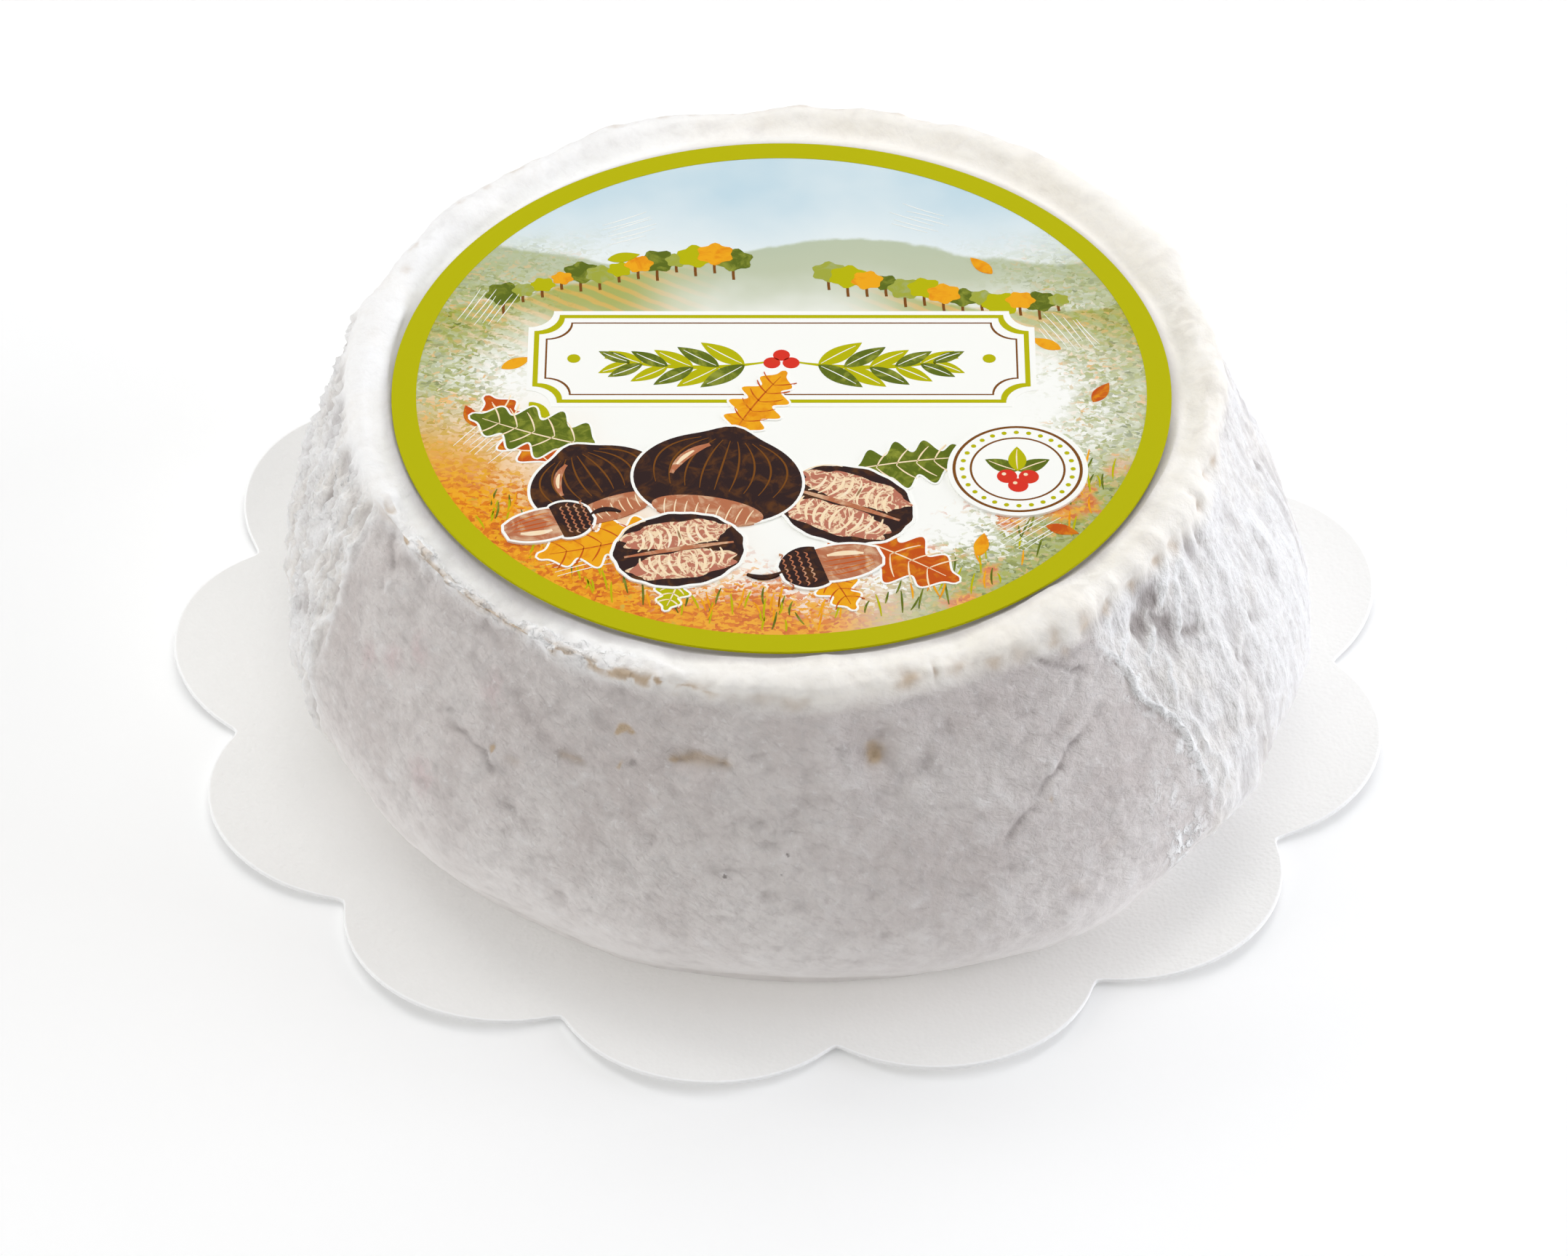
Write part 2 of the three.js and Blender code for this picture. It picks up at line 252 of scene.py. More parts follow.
class Wire:
    """An output of a material's node, which takes part in arithmetic."""

    def __init__(self, finish, socket):
        self.finish = finish
        self.socket = socket

    def maths(self, operation, *values):
        return self.finish.add("ShaderNodeMath", {"operation": operation}, dict(enumerate(values)))

    def __add__(self, other):
        return self.maths("ADD", self, other)

    def __radd__(self, other):
        return self.maths("ADD", other, self)

    def __sub__(self, other):
        return self.maths("SUBTRACT", self, other)

    def __rsub__(self, other):
        return self.maths("SUBTRACT", other, self)

    def __mul__(self, other):
        return self.maths("MULTIPLY", self, other)

    def __rmul__(self, other):
        return self.maths("MULTIPLY", other, self)

    def __pow__(self, other):
        return self.maths("POWER", self, other)

    def sine(self):
        return self.maths("SINE", self)

    def size(self):
        return self.maths("ABSOLUTE", self)

    def larger(self, other):
        return self.maths("MAXIMUM", self, other)

    def rise(self, low, high):
        """0 below low, 1 above high, with a smooth step between; low may be above high."""
        flip = low > high
        ends = (high, low) if flip else (low, high)
        step = self.finish.add("ShaderNodeMapRange", {"interpolation_type": "SMOOTHSTEP"},
                               {"Value": self, "From Min": ends[0], "From Max": ends[1]})
        return 1 - step if flip else step


class Finish:
    """A material under construction, in expressions on its nodes."""

    def __init__(self, name):
        self.material = bpy.data.materials.new(name)
        self.material.use_nodes = True
        self.tree = self.material.node_tree
        self.tree.nodes.clear()

    def add(self, kind, settings=None, inputs=None, output=0):
        """Adds one node: its settings first, then values or wires on its sockets; gives one output."""
        node = self.tree.nodes.new(kind)
        for name, value in (settings or {}).items():
            if name == "stops":
                self.set_stops(node.color_ramp, value)
            else:
                setattr(node, name, value)
        for name, value in (inputs or {}).items():
            socket = node.inputs[name]
            if isinstance(value, Wire):
                self.tree.links.new(value.socket, socket)
            elif socket.type == "RGBA":
                socket.default_value = (*value[:3], 1.0)
            else:
                socket.default_value = value
        return Wire(self, node.outputs[output]) if node.outputs else node

    @staticmethod
    def set_stops(ramp, stops):
        while len(ramp.elements) < len(stops):
            ramp.elements.new(1.0)
        for element, (place, tint) in zip(ramp.elements, stops):
            element.position = place
            element.color = (*tint, 1.0)

    def place(self, stretch=(1.0, 1.0, 1.0)):
        """The point on the piece in millimetres, stretched along each axis by a factor."""
        point = self.add("ShaderNodeTexCoord", output="Object")
        return self.vector("MULTIPLY", point, tuple(1000.0 * part for part in stretch))

    def vector(self, operation, first, second, output=0):
        return self.add("ShaderNodeVectorMath", {"operation": operation}, {0: first, 1: second}, output)

    def parts(self, point):
        """The three parts of a vector or a colour."""
        split = self.add("ShaderNodeSeparateXYZ", inputs={0: point})
        outputs = split.socket.node.outputs
        return [Wire(self, outputs[axis]) for axis in range(3)]

    def join(self, *parts):
        return self.add("ShaderNodeCombineXYZ", inputs=dict(enumerate(parts)))

    def noise(self, point, size, detail=3.0, roughness=0.5, distortion=0.0):
        """Noise from 0 to 1 whose largest features are about size millimetres."""
        return self.add("ShaderNodeTexNoise", {"noise_dimensions": "3D"}, {
            "Vector": point, "Scale": 1.0 / size, "Detail": detail,
            "Roughness": roughness, "Distortion": distortion})

    def loose_colour(self, point, scale, detail):
        """Noise in three directions at once, for shaking a point about."""
        return self.add("ShaderNodeTexNoise", None, {"Vector": point, "Scale": scale, "Detail": detail},
                        "Color")

    def cells(self, point, size, feature="F1", output="Distance"):
        """Cells about size millimetres across."""
        return self.add("ShaderNodeTexVoronoi", {"feature": feature},
                        {"Vector": point, "Scale": 1.0 / size}, output)

    def value(self, name):
        """A number that the mesh carries at its points."""
        return self.add("ShaderNodeAttribute", {"attribute_name": name}, output="Fac")

    def mix(self, share, first, second):
        """A colour between two colours."""
        return self.add("ShaderNodeMix", {"data_type": "RGBA"}, {0: share, 6: first, 7: second}, 2)

    def bump(self, height, distance, strength):
        """Shading of a relief whose height of 1 stands for distance millimetres."""
        inputs = {"Height": height, "Distance": distance * MM, "Strength": strength}
        return self.add("ShaderNodeBump", inputs=inputs)

    def surface(self, **inputs):
        """Ends the material with one shader; names are its sockets with _ for spaces."""
        named = {name.replace("_", " "): value for name, value in inputs.items()}
        shader = self.add("ShaderNodeBsdfPrincipled", inputs=named)
        self.add("ShaderNodeOutputMaterial", inputs={"Surface": shader})
        return self.material


# Mesh helpers


def new_piece(name, vertices, faces, material, smooth=True):
    """A mesh object in the row frame from points in millimetres, riding on the part's body."""
    mesh = bpy.data.meshes.new(name)
    mesh.from_pydata((np.asarray(vertices) * MM).tolist(), [], faces)
    if smooth:
        mesh.shade_smooth()
    else:
        mesh.shade_flat()
    mesh.materials.append(material)
    mesh.validate()
    piece = bpy.data.objects.new(name, mesh)
    bpy.context.scene.collection.objects.link(piece)
    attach(piece, BODY)
    return piece


def rings_to_solid(rings):
    """Points and faces of a closed skin: rings of points, shut by a point at each end of the axis."""
    rows, columns = rings.shape[:2]
    ends = np.array([[0, 0, rings[0, :, 2].mean()], [0, 0, rings[-1, :, 2].mean()]])
    vertices = np.concatenate([rings.reshape(-1, 3), ends])
    this = np.arange(columns)
    after = np.roll(this, -1)
    faces = []
    for row in range(rows - 1):
        low = row * columns
        high = low + columns
        faces += np.stack([low + this, low + after, high + after, high + this], 1).tolist()
    bottom, top = rows * columns, rows * columns + 1
    last = (rows - 1) * columns
    faces += [[bottom, int(b), int(a)] for a, b in zip(this, after)]
    faces += [[top, int(last + a), int(last + b)] for a, b in zip(this, after)]
    return vertices, faces


def set_values(piece, name, values):
    """Gives each point of a piece a number that its material reads."""
    layer = piece.data.attributes.new(name, "FLOAT", "POINT")
    layer.data.foreach_set("value", np.asarray(values, np.float32))


def azimuth_gap(start, end):
    """Smallest signed angle between two azimuths, in degrees."""
    return (end - start + 180) % 360 - 180


def bell(distance, width):
    """1 where the distance is 0, falling away to nothing about two widths off."""
    return np.exp(-((distance / width) ** 2))


def smooth_step(value, low, high):
    """0 at low and before it, 1 at high and beyond; low may be above high."""
    share = np.clip((value - low) / (high - low), 0, 1)
    return share * share * (3 - 2 * share)


def noise_field(points, size, octaves, upright=1.0, seed=0.0):
    """Fractal noise about 0 at each point; upright lengthens its features along Z."""
    scaled = points / np.array([size, size, size * upright]) + seed
    return np.array([noise.fractal(Vector(point), 1.0, 2.0, octaves) for point in scaled])


def sharp_folds(points, size, octaves, upright=1.0, seed=0.0):
    """Noise with narrow raised ridges, from about 0 in the hollows to 1 on the ridges."""
    return np.clip(1 - 2.2 * np.abs(noise_field(points, size, octaves, upright, seed)), 0, 1) ** 1.6


# Wheel


def side_stretch(start, end, share, slope_start, slope_end):
    """One stretch of the side between two radii, with its own slope at each end."""
    blend = share * share * (3 - 2 * share)
    leave = slope_start * (share**3 - 2 * share**2 + share)
    arrive = slope_end * (share**3 - share**2)
    return start + (end - start) * (blend + leave + arrive)


def steps(count, first=1):
    """Even shares of a stretch, up to 1."""
    return np.arange(first, count + 1) / count


def profile_rows(radius, height):
    """Rows of the profile from radii and heights."""
    return np.stack(np.broadcast_arrays(radius, height), 1)


def wheel_profile(wheel):
    """Mean radius and height, from the underside round the side to the middle of the top."""
    foot, belly, rim = wheel.foot_radius, wheel.bulge_radius, wheel.rim_radius
    bead_top = wheel.height + wheel.bead_rise
    rim_foot = bead_top - wheel.rim_round
    flat_foot = foot - wheel.foot_round
    stretches = [profile_rows(flat_foot * np.array(UNDERSIDE_SHARES), 0.0)]
    turn = steps(ROWS["foot"], 0) * math.pi / 2
    stretches.append(profile_rows(flat_foot + wheel.foot_round * np.sin(turn),
                                  wheel.foot_round * (1 - np.cos(turn))))
    share = steps(ROWS["belly"])
    stretches.append(profile_rows(side_stretch(foot, belly, share, wheel.foot_flare, 0),
                                  wheel.foot_round + (wheel.bulge_height - wheel.foot_round) * share))
    share = steps(ROWS["side"])
    stretches.append(profile_rows(side_stretch(belly, rim, share, 0, wheel.rim_flare),
                                  wheel.bulge_height + (rim_foot - wheel.bulge_height) * share))
    turn = steps(ROWS["rim"]) * math.pi / 2
    stretches.append(profile_rows(rim - wheel.bead_inset * (1 - np.cos(turn)),
                                  rim_foot + wheel.rim_round * np.sin(turn)))
    share = steps(ROWS["dip"])
    ease = (1 - np.cos(math.pi * share)) / 2
    bead = (rim - wheel.bead_inset, bead_top)
    groove = (wheel.groove_radius, wheel.height - wheel.groove_depth)
    seat = (wheel.seat_radius, wheel.height)
    for start, end in ((bead, groove), (groove, seat)):
        stretches.append(profile_rows(start[0] + (end[0] - start[0]) * share,
                                      start[1] + (end[1] - start[1]) * ease))
    stretches.append(profile_rows(wheel.seat_radius * np.array(SEAT_SHARES), wheel.height))
    return np.concatenate(stretches)


def side_profile(wheel):
    """The rows of the profile from the foot's widest point to the top of the rim."""
    first = len(UNDERSIDE_SHARES) + ROWS["foot"]
    last = first + ROWS["belly"] + ROWS["side"] + ROWS["rim"]
    return wheel_profile(wheel)[first:last + 1]


def wheel_angles(wheel):
    """Azimuths of the mesh columns, closer together round the front."""
    fine = np.linspace(-180, 180, 3601)
    inside = CLOSER["reach"] - np.abs(azimuth_gap(CLOSER["middle"], fine))
    density = 1 + CLOSER["extra"] * smooth_step(inside, 0, CLOSER["soft"])
    count = np.concatenate([[0], np.cumsum((density[1:] + density[:-1]) / 2)])
    wanted = np.arange(wheel.columns) / wheel.columns * count[-1]
    return np.radians(np.interp(wanted, count, fine))


def outline_shift(outline, angle):
    """How far one of the drawn plan outlines stands off its mean radius."""
    return (outline["x"] * np.cos(angle) + outline["y"] * np.sin(angle)
            + outline["oval"] * np.cos(2 * angle) + outline["diagonal"] * np.sin(2 * angle))


def plan_shift(wheel, angle, height):
    """How far the wheel's outline at a height stands off its mean radius there."""
    foot, belly, rim = (outline_shift(outline, angle) for outline in (FOOT, BULGE, RIM))
    low = np.clip(height / wheel.bulge_height, 0, 1)
    high = np.clip((height - wheel.bulge_height) / (wheel.height - wheel.bulge_height), 0, 1)
    return foot + (belly - foot) * low + (rim - belly) * high


def wave_sum(waves, angle, height):
    """Leaning waves round the wheel, added up."""
    return sum(out * np.sin(per_turn * angle + lean * height + phase)
               for per_turn, lean, phase, out in waves)


def wrinkled_share(azimuth, height):
    """1 on the wrinkled right side, right of its crease, and on the left side; 0 on the smooth rind."""
    places, levels = zip(*CREASE_LINE[::-1])
    crease = np.interp(height, levels, places)
    near_right = azimuth_gap(RIGHT_MIDDLE, azimuth) < 60
    near_left = azimuth_gap(LEFT_MIDDLE, azimuth) > -60
    right = smooth_step(azimuth_gap(crease, azimuth), -0.6, 1.2) * near_right
    right = right * smooth_step(azimuth_gap(azimuth, RIGHT_END), 0, 22)
    left = smooth_step(azimuth_gap(azimuth, LEFT_START), -0.8, 2.2) * near_left
    left = left * smooth_step(azimuth_gap(LEFT_END, azimuth), 0, 18)
    return np.clip(right, 0, 1), np.clip(left, 0, 1)


def near_line(azimuth, height, line, half_width):
    """Distance from a drawn line in half-widths, and how fully drawn the line is there."""
    points = np.array(line, float)
    first = points[0, 0]
    across, upright = azimuth_gap(first, azimuth) * MM_PER_DEGREE, height
    corners = np.stack([(points[:, 0] - first) * MM_PER_DEGREE, points[:, 1]], 1)
    lengths = np.linalg.norm(np.diff(corners, axis=0), axis=1)
    nearest = np.full(np.shape(azimuth), np.inf)
    along = np.zeros(np.shape(azimuth))
    for index, reach in enumerate(lengths):
        x, y = corners[index]
        step_x, step_y = corners[index + 1] - corners[index]
        share = np.clip(((across - x) * step_x + (upright - y) * step_y) / reach**2, 0, 1)
        gap = np.hypot(across - x - share * step_x, upright - y - share * step_y)
        along = np.where(gap < nearest, lengths[:index].sum() + share * reach, along)
        nearest = np.minimum(nearest, gap)
    total = lengths.sum()
    faded = 0.2 * total
    ends = smooth_step(along, 0, faded) * smooth_step(total - along, 0, faded)
    return nearest / half_width, 0.3 + 0.7 * ends


def draw_marks(azimuth, height):
    """Relief, shade and tan of every drawn crease, ridge, pit and stain of the side."""
    relief, shade, tan = np.zeros((3, *np.shape(azimuth)))
    for out, half_width, dark, bare, line in CREASES:
        gap, drawn = near_line(azimuth, height, line, half_width)
        core = np.exp(-gap**2) * drawn
        lips = np.exp(-((gap - 2.2) / 1.2) ** 2) * drawn * (out < 0)
        relief += out * (core - 0.4 * lips)
        shade += dark * core
        tan = np.maximum(tan, bare * core)
    for middle, level, across, upright, out, dark, bare in SPOTS:
        gap_x = azimuth_gap(middle, azimuth) * MM_PER_DEGREE / across
        gap_y = (height - level) / upright
        core = np.exp(-((gap_x**2 + gap_y**2) ** 1.15))
        relief += out * core
        shade += dark * core
        tan = np.maximum(tan, bare * core)
    return relief, shade, tan


def main_relief(wheel, angle, azimuth, height):
    """The large relief, the same as the solid's but for softer folds."""
    side = wave_sum(SIDE_WAVES, angle, height)
    for middle, level, wide, tall, out in SWELLINGS:
        side = side + out * bell(azimuth_gap(middle, azimuth), wide) * bell(height - level, tall)
    wave = wave_sum(FOLD_WAVES, angle, height)
    clear = smooth_step(wheel.height - height, 0, 6) * smooth_step(height, 0, 6)
    for middle, half_width, soft, depth in FOLDS:
        share = smooth_step(half_width - np.abs(azimuth_gap(middle, azimuth)), 0, soft)
        side = side + 0.22 * depth * wave * share * clear
    on_side = smooth_step(height, 0, wheel.foot_round)
    on_rim = smooth_step(height, wheel.height - 4, wheel.height - 1)
    return side * on_side + 0.6 * wave_sum(RIM_WAVES, angle, height) * on_rim


class Skin:
    """The plain wheel's points, with the noise and the shares that their fine relief is made from."""

    def __init__(self, wheel, points, azimuth, radius, height):
        self.wheel = wheel
        self.points = points
        self.azimuth = azimuth
        self.radius = radius
        self.height = height
        self.right, self.left = wrinkled_share(azimuth, height)
        self.wrinkled = np.maximum(self.right, self.left)
        self.below_rim = smooth_step(wheel.height - height, 0, 4)
        self.outside = smooth_step(radius, wheel.rim_radius - 3.6, wheel.rim_radius - 1.6)
        leaning = points + np.array([[0.16, -0.1, 0.0]]) * points[:, 2:]
        self.broad = sharp_folds(leaning, 7.5, 2, upright=3.6, seed=3.7)
        self.narrow = sharp_folds(leaning, 3.0, 3, upright=5.0, seed=11.3)
        self.fibre = sharp_folds(leaning, 1.4, 2, upright=6.0, seed=17.9)
        self.streaks = sharp_folds(points, 2.6, 3, upright=4.6, seed=41.3)
        self.level_folds = sharp_folds(points * np.array([[1.0, 1.0, 2.6]]), 4.4, 3, seed=91.7)
        self.grain = noise_field(points, 1.7, 2, seed=5.1)
        self.dimple = noise_field(points, 8.0, 3, seed=21.9)
        self.dent = noise_field(points, 3.0, 3, upright=0.7, seed=27.3)
        self.swell = noise_field(points, 3.4, 2, seed=81.9)
        self.ragged_rim = bell(azimuth_gap(-131, azimuth), 24)
        self.rim_line = bell(height - (wheel.height - 0.2), 2.0) * (radius > wheel.rim_radius - 4.0)
        self.on_bead = bell(radius - (wheel.rim_radius - 2.2), 2.4) * (height > wheel.height - 4)
        self.soft_rim = bell(azimuth_gap(9, azimuth), 20) + 0.7 * bell(azimuth_gap(160, azimuth), 22)


def fold_relief(skin):
    """Upright folds of the two wrinkled sides, deepest near the long crease and lower over the foot."""
    near_crease = 0.45 + 0.55 * smooth_step(azimuth_gap(skin.azimuth, -16), 0, 14)
    broad, narrow = skin.broad - 0.35, skin.narrow - 0.3
    fibre, streaks = skin.fibre - 0.3, skin.streaks - 0.3
    right = (0.5 * broad + 0.42 * narrow) * near_crease + 0.24 * fibre
    left = 1.4 * streaks + 0.8 * broad + 0.4 * fibre
    folds = right * skin.right + left * skin.left
    above_foot = smooth_step(skin.height, 0, 3)
    return folds * skin.wheel.wrinkle_depth * skin.below_rim * (0.35 + 0.65 * above_foot)


def calm_relief(skin):
    """Soft dimples all over, and faint level folds on the smooth rind above its foot."""
    depth = skin.wheel.dimple_depth
    calm = depth * (skin.dimple + 0.5 * skin.dent * (1 - 0.6 * skin.wrinkled) + 0.22 * skin.grain)
    calm = calm - depth * 0.5 * skin.level_folds * (1 - skin.wrinkled) * smooth_step(skin.height, 8, 16)
    return calm * (0.4 + 0.6 * smooth_step(skin.height, 2, 12))


def rim_crumbs(skin):
    """Crumbs along the ragged left of the rim, and faint ones all round it."""
    crumbs = noise_field(skin.points, 3.6, 3, seed=33.3) + 0.3 * noise_field(skin.points, 1.2, 2, seed=9.4)
    return skin.wheel.crumb_depth * crumbs * skin.rim_line * (skin.ragged_rim + 0.08)


def rim_lumps(skin):
    """The row of lumps at the right front of the rim, and the soft swells of its right and its far left."""
    lumps = sum(bell(azimuth_gap(middle, skin.azimuth), 1.7) for middle in LUMPS)
    return (0.32 * lumps * skin.on_bead * (1 + 0.6 * skin.dent)
            + 0.75 * skin.swell * skin.soft_rim * skin.on_bead)


def foot_relief(skin):
    """The slightly ragged line where the wheel meets the card."""
    ragged = 0.15 * noise_field(skin.points, 4.5, 3, seed=71.1)
    return ragged * smooth_step(skin.height, 6, 1) * (skin.height > 0)


def drawn_layers(skin):
    """Relief, shade, tan and grit of the drawn marks, their places shaken a little by noise."""
    azimuth = skin.azimuth + 0.45 * skin.dent + 0.3 * skin.grain
    height = skin.height + 0.5 * noise_field(skin.points, 3.0, 3, seed=51.3)
    relief, shade, tan = draw_marks(azimuth, height)
    relief = relief * (1 + 0.7 * np.clip(skin.grain, -1, 1))
    gap, drawn = near_line(azimuth, height, CREASE_CORE, 1.8)
    grit = 0.75 * np.exp(-(gap ** 2)) * drawn
    return [layer * skin.outside for layer in (relief, shade, tan, grit)]


def add_grit(skin, grit):
    """The crease's grit, with that of its foot and of the ragged left of the rim."""
    azimuth, height = skin.azimuth, skin.height
    at_foot = bell(azimuth_gap(-44.5, azimuth), 3.2)
    at_foot = at_foot * smooth_step(height, 6, 10) * smooth_step(height, 21, 15)
    at_foot = at_foot + 0.6 * bell(azimuth_gap(-45, azimuth), 3) * bell(height - 23, 3)
    patches = smooth_step(noise_field(skin.points, 4.0, 2, seed=61.7), -0.3, 0.1)
    grit = np.maximum(grit, 1.2 * at_foot * patches)
    return np.maximum(grit, 0.9 * skin.rim_line * smooth_step(skin.ragged_rim, 0.2, 0.8))


def add_tan(skin, tan):
    """The marks' tan, with that of the line under the left rim, the soft swells and the far crest; the tan
    low on the soft swells is partly the bare paste's own and partly painted shade.
    """
    wheel, azimuth, radius, height = skin.wheel, skin.azimuth, skin.radius, skin.height
    below_top = np.interp(azimuth_gap(-180, azimuth), (18, 30, 60, 80), (0.1, 0.25, 0.75, 1.1))
    line = (bell(height - (wheel.height - below_top) + 0.5 * skin.dent, 1.25)
            * (radius > wheel.rim_radius - 2.8)
            * smooth_step(36 - np.abs(azimuth_gap(-128, azimuth)), 0, 12))
    tan = np.maximum(tan, 0.65 * line * np.clip(0.7 + 1.6 * skin.dent + 0.4 * skin.grain, 0, 1))
    # Tan low on the rim's soft swells: partly bare paste, partly painted shade between the swells
    tan = np.maximum(tan, 0.55 * skin.soft_rim * skin.on_bead * np.clip(-skin.swell - 0.05, 0, 1))
    far_line = bell(radius - (wheel.rim_radius - 1.2), 0.9) * (height > wheel.height - 3)
    far_line = far_line * smooth_step(60 - np.abs(azimuth_gap(115, azimuth)), 0, 20)
    return np.maximum(tan, 0.36 * far_line * np.clip(0.4 + 2.0 * skin.dent, 0, 1))


def add_hollows(skin, shade):
    """The marks' shade, with painted shade between the folds and in the dents and a painted highlight on
    their ridges.
    """
    hollow = np.clip((0.42 - skin.broad) * 0.42 + (0.34 - skin.narrow) * 0.42, -0.4, 0.42) * skin.right
    hollow = hollow + np.clip(0.36 - skin.streaks, -0.6, 0.45) * skin.left * skin.below_rim
    lines = 0.08 * skin.level_folds * smooth_step(skin.height, 8, 18)
    return shade + hollow + (lines - 0.3 * skin.dent) * (1 - skin.wrinkled)


def fine_relief(skin):
    """What is finer than the solid's facets: relief, shade, tan, wrinkled share and grit."""
    relief, shade, tan, grit = drawn_layers(skin)
    for part in (fold_relief, calm_relief, rim_crumbs, rim_lumps, foot_relief):
        relief = relief + part(skin)
    return {"relief": relief, "shade": add_hollows(skin, shade), "tan": add_tan(skin, tan),
            "wrinkled": skin.wrinkled, "grit": add_grit(skin, grit)}


def front_fill(wheel, azimuth, radius, height, label_radius):
    """How far the groove outside the label is filled on the front, in mm."""
    fill = np.clip(wheel.height + 0.1 - height, 0, 1.3) * (radius < wheel.rim_radius - 2.6)
    fill = fill * (height > wheel.height - 3) * smooth_step(radius, label_radius + 0.1, label_radius + 1.5)
    return fill * smooth_step(105 - np.abs(azimuth_gap(-95, azimuth)), 0, 25)


def wheel_surface(wheel, base_height):
    """Rings of points of the whole skin, with the shade, tan, wrinkled share and grit at each."""
    profile = wheel_profile(wheel)
    angle = wheel_angles(wheel)[None, :]
    azimuth = np.degrees(angle)
    radius, height = profile[:, :1], profile[:, 1:]
    slope = np.gradient(profile, axis=0)
    outward = np.stack([slope[:, 1], -slope[:, 0]], 1)
    outward /= np.linalg.norm(outward, axis=1)[:, None]
    shift = plan_shift(wheel, angle, height) * np.minimum(1, radius / wheel.rim_radius)
    plain = np.stack(np.broadcast_arrays((radius + shift) * np.cos(angle),
                                         (radius + shift) * np.sin(angle), height), -1)
    shape = plain.shape[:2]
    flat = [np.broadcast_to(values, shape).ravel() for values in (azimuth, radius, height)]
    fine = fine_relief(Skin(wheel, plain.reshape(-1, 3), *flat))
    layers = {name: values.reshape(shape) for name, values in fine.items()}
    label_radius = frame_radius("paper_label")
    clear = smooth_step(radius, label_radius, label_radius + 3) * (height > 0) * smooth_step(height, 0, 1.0)
    relief = clear * (main_relief(wheel, angle, azimuth, height) + layers.pop("relief"))
    relief = relief + front_fill(wheel, azimuth, radius, height, label_radius)
    reach = radius + shift + outward[:, :1] * relief
    rings = np.stack([reach * np.cos(angle), reach * np.sin(angle),
                      height + outward[:, 1:] * relief + base_height], -1)
    rings[..., 2] = np.maximum(rings[..., 2], base_height)
    return rings, {name: values * clear for name, values in layers.items()}


def frame_radius(node):
    """Half of a round node's width, in mm."""
    low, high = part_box(node)
    return (high.x - low.x) / 2 / MM


def wheel_point(wheel, base_height, azimuth, height):
    """A point of the wheel's side, for placing a mark on it."""
    side = side_profile(wheel)
    radius = float(np.interp(height, side[:, 1], side[:, 0]))
    angle = math.radians(azimuth)
    radius += float(plan_shift(wheel, angle, height))
    return radius * math.cos(angle), radius * math.sin(angle), height + base_height


# The crease that parts the smooth front from the wrinkled right side: azimuth and height, downwards,
# and the stretch of it that stands out sharply
CREASE_LINE = [(-49.5, 47), (-47.8, 44), (-46.5, 42), (-45, 40), (-44, 38), (-44.6, 36), (-43.5, 34),
               (-41.2, 30.7), (-40.4, 28), (-40.2, 23), (-39.8, 19.5), (-39.2, 18), (-41, 13), (-45, 5),
               (-46, 0)]
CREASE_CORE = CREASE_LINE[1:12]

